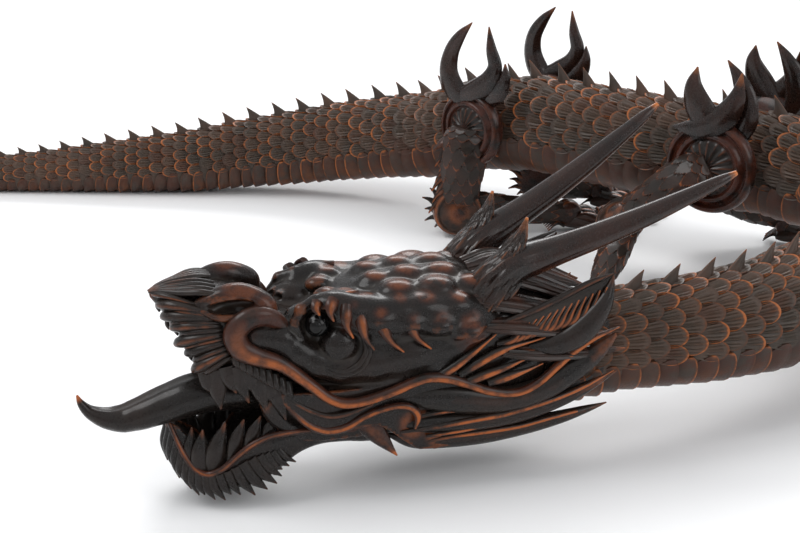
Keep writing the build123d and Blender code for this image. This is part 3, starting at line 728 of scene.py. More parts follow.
def both_sides(carving, rows, up, steps=18, sides=(1, -1), **options):
    """The same limb on both sides. Rows are forward, left, up, half width, half height, for the left one."""
    for side in sides:
        mirrored = np.array(rows, float) * vec(1, side, 1, 1, 1)
        add_limb(carving, mirrored, vec(*up) * vec(1, side, 1), steps=steps, **options)


def tapering(points, width, height, point=0.25, root=0.8):
    """Sections for a lock: given places, swelling after the root and running out to a point."""
    points = np.array(points, float)
    u = np.linspace(0, 1, len(points))
    swell = np.where(u < 0.35, root + (1 - root) * u / 0.35, 1 - (u - 0.35) / 0.65)
    size = np.maximum(swell, 0)[:, None]
    return np.hstack([points, np.maximum(width * size, point), np.maximum(height * size, point)])


def both_locks(carving, points, width, height, up, root=0.8, point=0.25, **options):
    """A pair of crested locks through the points."""
    both_sides(carving, tapering(points, width, height, point, root), up, profile="lock", **options)


# The tables are in millimetres in the head's frame: forward from the neck joint, left, up from the floor.
SKULL_SECTIONS = (
    (5, 44.5, 19.5, 12.8, 2.2),
    (12, 47.0, 18.0, 14.4, 2.2),
    (22, 50.6, 16.4, 16.6, 2.3),
    (34, 56, 15, 18.8, 2.3),
    (45, 58.8, 14.5, 19.6, 2.4),
    (57, 60.2, 14.5, 20.2, 2.4),
    (68, 60.6, 16.5, 20.2, 2.4),
    (77, 60.0, 21.5, 19.6, 2.4),
    (85, 58.0, 26.5, 18.4, 2.4),
    (91, 54.8, 30.0, 16.6, 2.4),
    (97, 51.6, 31.4, 14.8, 2.4),
    (103, 52.4, 32.2, 13.6, 2.4),
    (109, 56.5, 33.0, 13.2, 2.5),
    (116, 60.2, 34.6, 12.8, 2.6),
    (123, 61.2, 38.8, 11.2, 2.6),
    (128.5, 61.2, 46.0, 8.4, 2.4),
    (133, 61.2, 53.2, 4.4, 2.1),
    (137.2, 60.6, 59.2, 0.6, 2.0),
)
CHEEK_EDGE = (
    (58, 14.0), (64, 13.4), (69, 14.0), (73, 17.0), (77, 20.6), (80, 22.6), (84, 22.6), (89, 22.0),
    (94, 21.4), (98.4, 23.2), (102, 26.6), (107, 32.6)
)
WHISKER = (
    (103.5, 12.6, 49.5, 1.4, 1.4),
    (105.6, 13.2, 53.2, 2.2, 2.0),
    (109.6, 13.8, 55.6, 2.8, 2.4),
    (114.2, 14.0, 55.2, 3.1, 2.6),
    (117.4, 14.0, 51.8, 3.2, 2.6),
    (116.2, 14.4, 47.6, 3.1, 2.5),
    (112.0, 15.0, 45.0, 2.7, 2.3),
    (105.9, 16.0, 42.6, 2.1, 2.0),
    (99.0, 17.4, 36.9, 1.7, 1.7),
    (93.8, 18.6, 32.4, 1.5, 1.5),
    (89.4, 19.4, 30.7, 1.5, 1.5),
    (83.7, 20.0, 31.1, 1.4, 1.4),
    (76.5, 20.6, 33.1, 1.4, 1.4),
    (71.0, 20.9, 35.1, 1.4, 1.4),
    (66.9, 21.0, 35.9, 1.4, 1.4),
    (61.5, 21.0, 35.0, 1.4, 1.4),
    (55.2, 21.1, 32.5, 1.3, 1.4),
    (50.1, 21.2, 30.1, 1.3, 1.3),
    (44.1, 21.3, 28.6, 1.3, 1.3),
    (39.4, 21.3, 28.8, 1.3, 1.3),
    (34.8, 21.3, 31.0, 1.2, 1.2),
    (30.5, 21.2, 34.4, 1.2, 1.2),
    (25.3, 21.0, 38.3, 1.1, 1.1),
    (19.9, 20.6, 41.2, 0.9, 0.9),
    (15.4, 20.2, 42.6, 0.6, 0.6),
    (11.0, 19.8, 43.7, 0.2, 0.2),
)
LOWER_LIP_RIDGE = (
    (107.5, 14.2, 33.4, 0.4, 0.4),
    (104.8, 15.2, 31.0, 0.8, 0.8),
    (101.9, 16.2, 27.4, 1.0, 1.0),
    (98.4, 17.2, 24.3, 1.1, 1.1),
    (94.0, 18.0, 22.7, 1.2, 1.1),
    (88.9, 18.4, 23.4, 1.2, 1.1),
    (84.2, 18.9, 26.0, 1.1, 1.1),
    (79.6, 19.4, 27.6, 1.0, 1.1),
    (74.9, 19.8, 28.2, 1.0, 1.1),
    (71.5, 20.1, 27.3, 1.1, 1.1),
    (69.6, 20.2, 24.7, 1.1, 1.0),
    (70.4, 20.0, 21.1, 0.5, 0.5),
)
MIDDLE_LIP_RIDGE = (
    (107.1, 14.6, 34.6, 0.4, 0.4),
    (102.5, 16.4, 31.2, 0.8, 0.8),
    (97.7, 17.6, 28.4, 0.9, 0.9),
    (93.7, 18.6, 27.2, 0.9, 0.9),
    (89.1, 19.2, 27.6, 0.9, 0.9),
    (82.1, 19.9, 29.8, 0.4, 0.5),
)
# Locks of the mane, from the cheek backwards
MANE = (
    ((74, 18.4, 29.5, 0.6, 0.5), (66, 19.2, 29.2, 3.4, 2.0), (56, 20.0, 28.0, 4.2, 2.4),
     (44, 20.4, 26.4, 3.8, 2.3), (33, 20.6, 28.6, 3.6, 2.2), (24, 20.3, 33.0, 3.4, 1.9),
     (17, 19.8, 37.4, 2.6, 1.5), (12, 19.5, 41.5, 0.8, 0.6)),
    ((78, 16.6, 21.8, 0.4, 0.4), (70, 17.6, 21.4, 2.4, 1.8), (62, 18.4, 21.0, 3.0, 2.2),
     (50, 19.2, 20.8, 3.0, 2.3), (38, 19.4, 21.8, 2.8, 2.2), (27, 19.0, 24.0, 2.3, 1.9),
     (18, 18.5, 26.8, 1.5, 1.3), (10.5, 18.2, 29.9, 0.2, 0.2)),
    ((77, 15.6, 18.2, 0.4, 0.4), (70, 16.0, 16.0, 2.4, 2.2), (62, 16.2, 15.4, 3.0, 2.8),
     (50, 17.0, 15.4, 3.0, 2.7), (38, 17.4, 16.2, 2.6, 2.3), (27, 17.3, 17.4, 2.0, 1.8),
     (19, 17.0, 18.6, 1.2, 1.1), (12.5, 16.8, 19.8, 0.2, 0.2)),
)
MANE_RIDGES = (
    ((74, 19.0, 20.0, 0.4, 0.4), (64, 20.0, 20.8, 0.9, 0.9), (52.2, 20.9, 21.9, 1.0, 1.0),
     (45.1, 21.1, 22.4, 1.0, 1.0), (38.7, 21.1, 23.4, 1.0, 1.0), (29.8, 20.6, 24.9, 0.9, 0.9),
     (20.8, 19.6, 27.0, 0.7, 0.7), (11.5, 18.4, 30.2, 0.2, 0.2)),
    ((70, 18.2, 15.6, 0.4, 0.4), (60, 18.6, 16.6, 0.8, 0.8), (50, 19.2, 16.9, 0.9, 0.8),
     (39.9, 19.3, 17.2, 0.8, 0.7), (31, 18.9, 18.2, 0.7, 0.6), (22, 18.2, 19.0, 0.4, 0.4)),
    ((68.5, 19.8, 24.5, 0.4, 0.4), (60, 20.2, 25.0, 0.7, 0.7), (50, 20.9, 24.6, 0.7, 0.7),
     (42, 21.1, 24.6, 0.3, 0.3)),
    ((67, 19.4, 18.0, 0.4, 0.4), (58, 20.0, 18.6, 0.7, 0.7), (48, 20.3, 19.2, 0.3, 0.3)),
)
CROWN_HAIR = (
    ((50, 2.4, 59.0, 2.4, 1.6), (42, 3.0, 60.2, 3.6, 2.2), (33, 3.2, 57.8, 3.6, 2.1),
     (24, 3.4, 54.2, 2.8, 1.6), (14, 3.4, 50.4, 0.3, 0.3)),
    ((50, 8.0, 58.0, 2.4, 1.6), (42, 8.6, 58.6, 3.4, 2.0), (33, 9.0, 55.8, 3.5, 2.0),
     (24, 9.2, 52.0, 2.8, 1.6), (12, 9.0, 48.0, 0.3, 0.3)),
    ((54, 14.8, 54.6, 2.4, 1.6), (45, 15.6, 53.4, 3.5, 2.0), (36, 15.8, 51.2, 3.5, 2.0),
     (27, 15.4, 48.6, 2.8, 1.6), (15, 14.0, 45.4, 0.3, 0.3)),
    ((52, 18.4, 48.4, 2.2, 1.5), (43, 19.0, 47.4, 3.0, 1.9), (34, 19.0, 45.8, 3.1, 1.9),
     (24, 18.4, 43.6, 2.6, 1.5), (11, 17.2, 40.4, 0.3, 0.3)),
    ((46, 20.0, 40.8, 2.0, 1.4), (37, 20.2, 39.4, 2.8, 1.8), (28, 19.8, 38.2, 2.8, 1.7),
     (19, 18.8, 37.0, 2.0, 1.3), (8, 17.2, 36.0, 0.3, 0.3)),
)
CHEEK_LOCKS = (
    ((64, 20.2, 35.6), (60.4, 20.9, 37.6), (55, 20.9, 41.1), (50, 20.2, 44.2), (47.4, 19.6, 45.6)),
    ((58, 20.6, 35.4), (53.9, 21.2, 37.9), (48.5, 21.3, 40.5), (43.4, 21.1, 42.0), (37.3, 20.8, 42.9),
     (31.6, 20.8, 44.0)),
    ((57, 20.8, 32.8), (52.8, 21.4, 34.4), (46.0, 21.5, 36.2), (41.0, 21.4, 37.7), (36.8, 21.0, 38.9)),
    ((50, 20.9, 32.2), (45, 21.4, 33.4), (39, 21.4, 34.8), (34, 20.8, 36.0)),
)
LASHES = (
    ((95.6, 15.0, 58.4), (96.4, 16.8, 57.4), (95.8, 18.0, 55.8)),
    ((91.4, 16.2, 59.2), (92.6, 17.8, 57.8), (93.0, 18.8, 56.2), (92.3, 19.2, 54.2)),
    ((88.2, 17.0, 57.6), (88.8, 18.8, 55.0), (88.8, 19.8, 52.4), (87.4, 20.3, 49.4)),
    ((84.8, 17.8, 55.6), (84.8, 19.6, 52.8), (84.2, 20.7, 49.4), (82.0, 21.2, 45.8)),
    ((79.6, 18.4, 53.2), (79.0, 20.0, 50.8), (77.4, 21.0, 47.6), (74.0, 21.6, 44.4)),
    ((72.0, 18.8, 53.4), (71.6, 20.4, 50.8), (70.0, 21.2, 47.6), (66.4, 21.6, 44.4)),
)
DOMES = (  # forward, left, height of the crown's bosses, and how wide they are
    (76.8, 4.5, 60.8, 3.6), (87.0, 9.5, 58.8, 3.0), (82.5, 13.0, 58.0, 3.2), (68.0, 4.6, 61.6, 4.0),
    (72.6, 11.4, 60.0, 4.0), (58.4, 4.8, 61.4, 4.2), (62.0, 11.8, 60.0, 4.4), (79.6, 18.4, 54.6, 2.8),
    (66.6, 16.4, 57.0, 3.4), (55.0, 18.9, 50.0, 4.4), (73.6, 16.0, 57.0, 2.8), (57.4, 16.4, 56.4, 3.4),
    (51.4, 11.0, 59.4, 3.6), (90.5, 5.0, 58.0, 2.6), (63.4, 19.6, 52.0, 3.2), (71.0, 19.4, 53.0, 2.6),
    (86.4, 16.4, 56.6, 2.2),
)
# The fan of locks over the muzzle: where they start and end, from the nose to the mouth
FAN_ROOTS = (
    (124.2, 8.6, 57.8), (122.4, 9.6, 56.6), (121.2, 10.2, 55.2), (120.2, 10.8, 54.0), (119.4, 11.4, 52.6),
    (118.6, 11.8, 51.0), (118.0, 12.2, 49.4), (117.6, 12.4, 47.6), (117.4, 12.6, 45.6),
)
FAN_TIPS = (
    (137.2, 0.5, 60.2), (136.8, 1.6, 58.2), (135.6, 2.6, 56.0), (134.8, 4.2, 53.2), (133.2, 5.4, 51.2),
    (132.4, 6.8, 47.6), (130.6, 7.6, 45.6), (129.4, 9.0, 41.8), (126.6, 10.2, 39.4),
)
FAN_SECTIONS = (  # share of the way, how far it bulges, half width and half height
    (0, 0, 0.5, 0.5), (0.2, 0.7, 1.1, 1.2), (0.45, 1.0, 1.5, 1.7), (0.7, 0.85, 1.8, 1.9),
    (0.9, 0.2, 1.4, 1.3), (1, -0.6, 0.25, 0.25),
)
FRINGE = (
    ((124.2, 9.6, 41.0), (124.0, 10.4, 37.0), (122.6, 10.2, 33.8)),
    ((121.8, 10.6, 41.0), (122.0, 11.2, 35.0), (121.4, 10.9, 29.6)),
    ((119.4, 11.6, 42.0), (118.6, 12.6, 38.0), (117.4, 12.4, 34.4)),
    ((117.0, 12.2, 42.0), (116.0, 13.2, 37.0), (114.2, 12.9, 31.4)),
    ((114.4, 12.8, 41.5), (113.4, 13.8, 37.4), (111.8, 13.8, 33.6)),
    ((112.2, 13.0, 40.0), (111.2, 14.2, 34.6), (109.4, 14.0, 28.2)),
    ((109.6, 13.4, 38.0), (108.4, 14.6, 34.2), (107.0, 14.6, 30.4)),
    ((107.4, 13.8, 36.0), (106.2, 15.0, 31.4), (104.8, 14.8, 26.0)),
)


def skull_form():
    form = Form((-1, -26, 9), (142, 26, 72), 0.5)
    form.loft(SKULL_SECTIONS)
    # Cheek plates that hang beside the jaw
    edge = np.array(CHEEK_EDGE)

    def plate(x, y, z):
        lowest = np.interp(x, edge[:, 0], edge[:, 1])
        middle = np.interp(x, (66, 80, 95, 107), (16.6, 16.6, 16.2, 13.6))
        return 0.8 * largest(np.abs(y - middle) - 2.2, lowest - z, z - 34, 56 - x, x - 107)

    form.join(plate, (52, -22, 10), (112, 22, 44), 2.0)
    # Fat roll behind the scroll, flowing under the eye into the cheek
    form.rope(((111, 11.5, 49.5, 4.2), (105, 12.6, 48.4, 4.0), (100.5, 13.6, 44.4, 4.0),
               (96.0, 14.6, 41.6, 4.0), (90, 15.6, 40.2, 4.2), (81, 16.2, 40.4, 4.4), (70, 16.6, 41.6, 4.4),
               (58, 16.8, 43.6, 4.0)),
               1.6)
    # Brow mass over the eye and cheek
    form.rope(through(((95.5, 11.5, 56.0, 2.6), (90, 13.0, 55.6, 3.6), (85.5, 14.0, 53.8, 4.2),
                       (80.5, 14.8, 52.6, 4.4), (75, 15.2, 52.2, 4.6), (69, 15.2, 52.2, 4.8),
                       (60, 15.0, 51.4, 5.0), (51, 14.6, 49.0, 5.0)), 20), 2.6)
    form.ball((97.0, 9.2, 51.4), (7.0, 5.6, 5.0), 1.8)
    # Eye socket, and the round pouch behind the eye
    form.ball((96.0, 18.2, 53.2), (4.6, 4.4, 4.2), 0.8, cut=True)
    form.ball((90.0, 15.8, 46.4), (5.2, 4.6, 5.2), 0.35)
    form.rope(((95.5, 12.0, 57.6, 1.8), (99.6, 13.2, 56.0, 1.7), (101.6, 13.8, 52.6, 1.5),
               (100.2, 14.4, 49.0, 1.2)), 0.8)
    # Bosses on the crown
    for x, y, z, radius in DOMES:
        form.ball((x, y - 0.12 * radius, z - 0.62 * radius), (radius * 1.45, radius * 1.15, radius * 0.82),
                  1.3)
    # Nostril wings and their openings
    form.rope(through(((126.4, 7.6, 58.2, 0.9), (122.6, 8.6, 59.6, 1.8), (118.6, 8.9, 60.4, 2.5),
                       (114.6, 9.1, 60.3, 2.8), (111.0, 9.9, 58.8, 2.8), (108.6, 10.9, 56.8, 2.6),
                       (108.8, 11.8, 53.6, 1.9)), 34), 1.2)
    form.rope(through(((126, 9.0, 57.6, 0.8), (121.5, 11.7, 56.2, 1.1), (116.5, 12.5, 55.7, 1.2),
                       (111.4, 12.5, 55.9, 1.3)), 14), 0.8)
    form.ball((118.0, 12.2, 58.4), (6.2, 3.4, 1.7), 0.6, cut=True, pitch=-4)
    # Furrows between the nose and the eyes, and along the bridge
    form.rope(((108, 0.1, 60.2, 1.2), (120, 0.1, 63.2, 1.0), (132, 0.1, 62.8, 0.6)), 1.2, cut=True)
    for offset in (2.6, 5.2, 8.0):
        form.rope(((107.5 - 0.3 * offset, offset, 59.0 - 0.25 * offset, 0.7),
                   (103.6, offset + 0.6, 53.4, 0.7),
                   (98.5, offset + 1.0, 52.8, 0.5)), 0.7, cut=True)
    for offset in (1.6, 3.4, 5.4):
        form.rope(((122, offset + 1.4, 62.2, 0.6), (129, offset, 62.2, 0.6),
                   (135.4, offset * 0.2, 61.8, 0.25)), 0.5, cut=True)
    # Hollow temple behind the brow, and long furrows down the cheek
    form.rope(((36, 20.6, 50.4, 1.6), (46, 21.4, 48.2, 1.4), (56, 21.8, 45.4, 1.0), (66, 22.0, 43.0, 0.6)),
              1.4, cut=True)
    # Mouth: room for the jaw and the tongue
    def mouth(x, y, z):
        return largest(y - 13.9, z - 31.2, 62.5 - x)

    form.join(mouth, (60, -16, 0), (142, 16, 34), 0.5, cut=True)
    form.rope(((84, 0, 30, 8.0), (100, 0, 33.5, 8.2), (112, 0, 36.0, 8.4), (124, 0, 37.0, 8.6),
               (140, 0, 36, 8.0)), 0.8, cut=True)
    # Web of skin that closes each corner of the mouth, with a rolled edge
    web = np.array(((70, 18.5), (94, 18.5), (100, 20.0), (106, 24.0)))

    def corner(x, y, z):
        return 0.8 * largest(np.abs(y - 12.0) - 1.2, np.interp(x, web[:, 0], web[:, 1]) - z, z - 34, 70 - x,
                             x - 106)

    form.join(corner, (68, -15, 14), (108, 15, 36), 0.8)
    form.rope(through(((72, 12, 19.5, 2.0), (94, 12, 19.5, 2.0), (101, 12, 21.4, 2.1),
                       (106.4, 12, 25.4, 2.2), (109, 12.2, 30.5, 2.2)), 24), 1.2)
    # The socket that the neck's ball turns in
    form.ball((0, 0, HEAD_JOINT[2]), 14.0, 0.4, cut=True)
    return form


def carve_skull():
    carving = Carving()
    spots = [(x, y, z - 0.1 * radius, 1.15 * radius, 0.34, 1.0) for x, y, z, radius in DOMES]
    spots += [(114.5, 10.5, 64.0, 7.5, 0.27, 0.8), (108.5, 12.5, 57.5, 5.0, 0.24, 0.8),
              (55, 18.8, 46.5, 6.0, 0.15, 0.8), (70, 18.5, 22.0, 6.0, 0.45, 0.7),
              (62, 18.5, 19.0, 7.0, 0.5, 0.7), (88, 18, 52, 3.0, 0.1, 0.5)]
    skull_form().carve_into(carving, spots, edge=(0.26, 0.70), edge_wear=0.34)

    both_sides(carving, WHISKER, (0, 1, -0.25), steps=120, around=24, band=0.70, wear=(0.08, 0.60, 0.3),
               dust=0.4, red=0.75)
    both_sides(carving, LOWER_LIP_RIDGE, (0, 1, 0), steps=60, around=20, band=0.80, wear=(0.06, 0.66, 0.2),
               dust=0.4, red=0.7)
    both_sides(carving, MIDDLE_LIP_RIDGE, (0, 1, 0), steps=30, wear=(0.08, 0.3, 0.0), dust=0.5)
    for rows in MANE:
        both_sides(carving, rows, (0, 1, 0.15), steps=48, around=18, profile="lock", wear=(0.04, 0.12, 0.35),
                   dust=0.4)
    for rows in MANE_RIDGES:
        both_sides(carving, rows, (0, 1, 0), steps=40, wear=(0.15, 0.75, 0.3), dust=0.5)
    for points in CHEEK_LOCKS:
        both_locks(carving, points, 1.5, 1.3, (0, 1, 0), steps=30, wear=(0.1, 0.75, 0.3), dust=0.6)
    for points in LASHES:
        both_locks(carving, points, 1.75, 1.2, (0, 1, 0.2), root=1.0, steps=22, wear=(0.12, 0.42, 0.4),
                   dust=0.2, red=0.6)
    # Forked tuft at the front of each brow
    for lift, reach in ((0.0, 92.6), (1.6, 91.6), (3.0, 90.0)):
        points = ((84, 12.5, 57 + 0.6 * lift), (88, 13.2, 56.6 + 0.8 * lift), (reach, 13.8, 55.6 + lift))
        both_locks(carving, points, 1.3, 1.1, (0, 0.4, 1), root=1.0, steps=16, wear=(0.2, 0.5, 0.6), red=0.5)
    # Fan of locks over the muzzle, from below the nostril to the sloping front
    for k, (root, tip) in enumerate(zip(through(FAN_ROOTS, 14), through(FAN_TIPS, 14))):
        size = (1.0, 0.66, 0.9, 0.74)[k % 4] * (0.5 + 0.25 * min(k, 2))
        root, tip = root + vec(0, 0.3, 0) * (k % 2), tip + (root - tip) * (0.0, 0.10, 0.03, 0.14)[k % 4]
        bulge = vec(1.0, 1.5, 1.3 - 0.07 * k) * (0.7 + 0.5 * size)
        rows = [(*(root * (1 - share) + tip * share + bulge * lift), width * size, height * size)
                for share, lift, width, height in FAN_SECTIONS]
        both_sides(carving, rows, (0.45, 1, 0.1), steps=30, around=20, band=0.90, profile="lock",
                   wear=(0.02, (0.42, 0.16, 0.30)[k % 3], 0.12), dust=0.5)
    # Hair over the mouth: short tufts pointing down, longest towards the front
    for points in FRINGE:
        both_locks(carving, points, 2.9, 1.5, (0.15, 1, 0), root=1.0, steps=18, wear=(0.02, 0.08, 0.28),
                   dust=0.3)
    for k in range(9):
        root = vec(117.5 - 1.7 * k, 12.9 + 0.25 * k, 46.5 - 1.2 * k)
        tip = root + vec(-1.5, 1.0, -5.2)
        points = (root, (root + tip) / 2 + vec(0.7, 0.9, 0), tip)
        both_locks(carving, points, 1.3, 1.0, (0.1, 1, 0), root=0.9, steps=14, wear=(0.02, 0.10, 0.16),
                   dust=0.5)
    # Ridges that run together over the nose
    for offset in (1.3, 3.4, 5.6, 7.8):
        rows = (
            (120.5, 1.1 * offset + 1.4, 62.4 - 0.1 * offset, 0.6, 0.6),
            (125, 1.05 * offset + 0.4, 62.9 - 0.12 * offset, 1.1, 1.0),
            (130, 0.72 * offset, 62.6 - 0.16 * offset, 1.1, 1.0),
            (134, 0.38 * offset, 61.9 - 0.1 * offset, 0.8, 0.8),
            (137.4, 0.1 * offset, 60.6, 0.25, 0.25),
        )
        both_sides(carving, rows, (0, 0.1, 1), steps=26, profile="lock", wear=(0.03, 0.22, 0.16), dust=0.5)
    # Combed hair behind the horns, over the collar
    for rows in CROWN_HAIR:
        both_sides(carving, rows, (0, 0.35, 1), steps=44, around=44, flutes=(12, 0.075),
                   wear=(0.10, 0.10, 0.3), dust=0.5, red=0.3)
        strand = np.array(rows, float)[:, :3] + np.outer(np.linspace(1, 0.1, len(rows)), vec(-1.5, 1.6, 0.4))
        both_locks(carving, strand, 0.9, 0.9, (0, 0.35, 1), root=0.7, steps=40, wear=(0.1, 0.5, 0.3),
                   dust=0.4)
    # Folds round the pouch behind each eye
    for spread in (0.0, 1.0):
        fold = (
            (84.8 - spread, 18.6, 49.4 + spread, 0.3, 0.3),
            (83.8 - spread, 19.7, 45.4, 0.8, 0.7),
            (86.4 - spread, 20.1, 41.4 - spread, 0.9, 0.8),
            (90.6, 19.8, 40.2 - spread, 0.8, 0.7),
            (94.6, 18.9, 41.8 - spread, 0.3, 0.3),
        )
        both_sides(carving, fold, (0, 1, 0), steps=30, wear=(0.02, 0.04, 0.0), dust=0.3)
    # Spike behind each jaw corner
    spike = ((84, 16.2, 25, 3.2, 2.0), (81.5, 16.9, 21.5, 3.4, 2.0), (79.0, 17.6, 18.0, 2.3, 1.6),
             (76.8, 18.2, 15.2, 1.1, 0.9), (75.0, 18.6, 13.0, 0.2, 0.2))
    both_sides(carving, spike, (0.2, 1, 0), steps=22, profile="lock", wear=(0.1, 0.25, 0.7), red=0.5)
    return carving.move(HEAD_TURN, HEAD_ORIGIN)


JAW_SECTIONS = (
    (72.5, 26.0, 14.5, 11.6, 2.6),
    (77, 28.0, 12.8, 13.2, 2.8),
    (82, 27.0, 13.0, 13.4, 2.8),
    (88, 25.0, 14.2, 13.5, 2.8),
    (95, 24.5, 14.4, 13.6, 2.8),
    (101, 24.5, 12.6, 14.0, 3.0),
    (107, 24.5, 8.0, 14.2, 3.2),
    (113, 24.0, 5.0, 13.8, 3.4),
    (119, 24.0, 4.0, 12.8, 3.4),
    (125, 25.0, 4.0, 10.8, 3.2),
    (130, 26.0, 5.6, 8.0, 2.8),
    (133.2, 26.0, 9.6, 4.6, 2.4),
    (135, 25.0, 14.0, 1.8, 2.0),
)
JAW_LIP = (
    (76, 13.2, 22.6, 0.3, 0.3),
    (84, 13.5, 20.2, 0.8, 0.7),
    (92, 13.7, 20.8, 0.9, 0.8),
    (99, 14.1, 21.7, 0.9, 0.8),
    (105, 14.4, 21.9, 0.9, 0.8),
    (110.1, 14.3, 21.2, 0.9, 0.8),
    (114.7, 13.9, 19.0, 0.9, 0.8),
    (118.3, 13.2, 16.0, 0.9, 0.8),
    (122.0, 12.2, 12.6, 0.9, 0.8),
    (125.7, 10.8, 10.9, 0.9, 0.8),
    (129.0, 9.0, 12.4, 0.8, 0.7),
    (131.4, 6.9, 16.2, 0.8, 0.7),
    (133.0, 4.8, 20.4, 0.7, 0.7),
    (134.2, 2.6, 24.0, 0.6, 0.6),
    (134.6, 0.0, 25.4, 0.5, 0.5),
)
LOWER_TEETH = (  # places and half width; the canine is the largest
    ((128.8, 6.4, 11.5), (129.2, 6.1, 17.0), (128.6, 5.6, 22.8), 3.0),
    ((126.6, 7.8, 9.5), (126.8, 7.9, 16.8), (126.0, 7.4, 22.6), 3.5),
    ((122.8, 8.8, 11.0), (122.6, 9.4, 17.5), (120.0, 8.8, 24.6), 3.7),
    ((118.0, 10.2, 14.0), (117.4, 10.6, 20.0), (115.2, 10.0, 25.4), 2.7),
    ((113.6, 11.2, 16.5), (113.0, 11.4, 21.6), (110.8, 10.9, 26.2), 2.6),
    ((109.2, 11.6, 18.0), (108.6, 11.8, 22.6), (106.6, 11.3, 26.8), 2.3),
    ((105.0, 11.8, 18.5), (104.4, 12.0, 22.4), (102.6, 11.6, 26.0), 1.8),
)
BEARD = (  # root, middle and tip of the locks from the front backwards, and half width
    ((134.4, 0.0, 22.0), (135.6, 0.0, 17.0), (134.8, 0.0, 11.5), 1.3),
    ((133.6, 2.8, 21.5), (134.9, 3.2, 16.0), (133.8, 3.2, 10.4), 1.3),
    ((132.4, 5.0, 18.5), (133.4, 5.6, 13.0), (132.2, 5.6, 7.8), 1.4),
    ((130.8, 7.0, 14.5), (131.4, 7.7, 10.0), (129.8, 7.7, 5.4), 1.4),
    ((128.6, 8.8, 12.0), (128.8, 9.4, 8.0), (126.9, 9.2, 3.6), 1.5),
    ((126.0, 10.2, 10.6), (125.6, 10.8, 6.8), (123.2, 10.4, 2.4), 1.6),
    ((123.0, 11.4, 11.0), (122.0, 12.0, 7.4), (119.4, 11.6, 3.4), 1.6),
    ((119.6, 12.4, 12.6), (118.2, 12.9, 8.4), (115.8, 12.4, 4.0), 1.6),
    ((116.4, 13.0, 14.6), (113.4, 13.6, 9.2), (108.2, 12.8, 3.8), 2.0),
    ((112.6, 13.4, 16.0), (110.0, 14.0, 11.8), (106.4, 13.4, 8.4), 1.7),
    ((109.6, 13.6, 16.6), (107.6, 14.2, 13.2), (104.6, 13.8, 10.8), 1.4),
    ((106.8, 13.7, 17.0), (105.0, 14.3, 14.8), (102.2, 13.9, 12.8), 1.1),
)


def jaw_form():
    form = Form((68, -18, 1), (140, 18, 32), 0.45)
    form.loft(JAW_SECTIONS)
    lip = np.array(JAW_LIP)

    def above_lip(x, y, z):
        side = np.interp(x, lip[:10, 0], lip[:10, 2])
        front = np.interp(y, lip[9:, 1][::-1], lip[9:, 2][::-1])
        share = smooth(121.5, 127.0, x)
        return (side * (1 - share) + front * share) - z

    form.join(above_lip, (84, -18, 1), (140, 18, 32), 0.6, cut=True)
    # The scooped floor, with a channel that the tongue lies in
    form.ball((110, 0, 24.0), (22.5, 11.2, 12.6), 0.8, cut=True)
    form.rope(((88, 0, 21, 7.6), (108, 0, 20, 7.8), (122, 0, 20.5, 7.6)), 0.6, cut=True)
    form.rope(((127, 0, 23, 4.0), (131.4, 0, 26.5, 4.4)), 0.6, cut=True)

    def behind(x, y, z):
        return largest(y - 7.6, 14.0 - z, x - 100)

    form.join(behind, (80, -9, 10), (104, 9, 34), 0.6, cut=True)
    form.rope(((95.5, 8.2, 17.5, 1.7), (95.5, 5.8, 17.5, 1.9)), 0.5)
    form.rope(((90.5, 8.2, 17.5, 1.7), (90.5, 5.8, 17.5, 1.9)), 0.5)
    # Underside hollow between the beard and the jaw corner
    form.rope(((76, 13.8, 12.6, 1.4), (90, 14.4, 13.4, 1.2), (100, 14.8, 12.6, 1.0)), 1.2, cut=True)
    return form


def carve_jaw():
    carving = Carving()
    jaw_form().carve_into(carving, edge_wear=0.35, dust=0.8)
    both_sides(carving, JAW_LIP, (0, 1, 0.2), steps=70, around=18, band=0.86, wear=(0.05, 0.46, 0.0),
               dust=0.3, red=0.8)
    for *points, width in LOWER_TEETH:
        rows = tapering(points, width, 0.62 * width, root=1.0, point=0.2)
        both_sides(carving, rows, (0, 1, 0), steps=16, wear=(0.0, 0.1, 0.30), dust=0.35)
    # Beard: fluted locks down the front and under the chin
    locks = through([(*root, *middle, *tip, width) for root, middle, tip, width in BEARD], 19)
    for k, lock in enumerate(locks):
        root, middle, tip, width = lock[:3], lock[3:6], lock[6:9], 0.78 * lock[9]
        tip = tip + (middle - tip) * (0.0, 0.3, 0.12)[k % 3]
        both_locks(carving, (root, middle, tip), 1.5 * width, 1.1 * width,
                   (0.7 if root[0] > 126 else 0.1, 0.8, 0),
                   root=0.85, point=0.2, steps=16, sides=(1, -1) if k else (1,), wear=(0.02, 0.10, 0.2),
                   dust=0.3)
    return carving.move(HEAD_TURN, HEAD_ORIGIN)


TONGUE_SECTIONS = (
    (92.0, 0, 17.8, 3.3, 2.6),
    (95.0, 0, 20.0, 3.6, 2.9),
    (100, 0, 23.5, 4.0, 3.4),
    (106, 0, 26.4, 5.0, 4.3),
    (112, 0, 28.8, 6.0, 5.0),
    (119, 0, 30.4, 6.5, 5.6),
    (126, 0, 30.2, 6.5, 5.6),
    (132, 0, 28.8, 6.2, 5.3),
    (138, 0, 27.2, 5.7, 4.7),
    (143, 0, 25.9, 5.0, 4.1),
    (147, 0, 25.5, 4.4, 3.5),
    (151, 0, 26.4, 3.5, 2.7),
    (154.5, 0, 28.4, 2.4, 1.8),
    (156.6, 0, 31.0, 1.3, 1.1),
    (157.6, 0, 33.6, 0.3, 0.3),
)


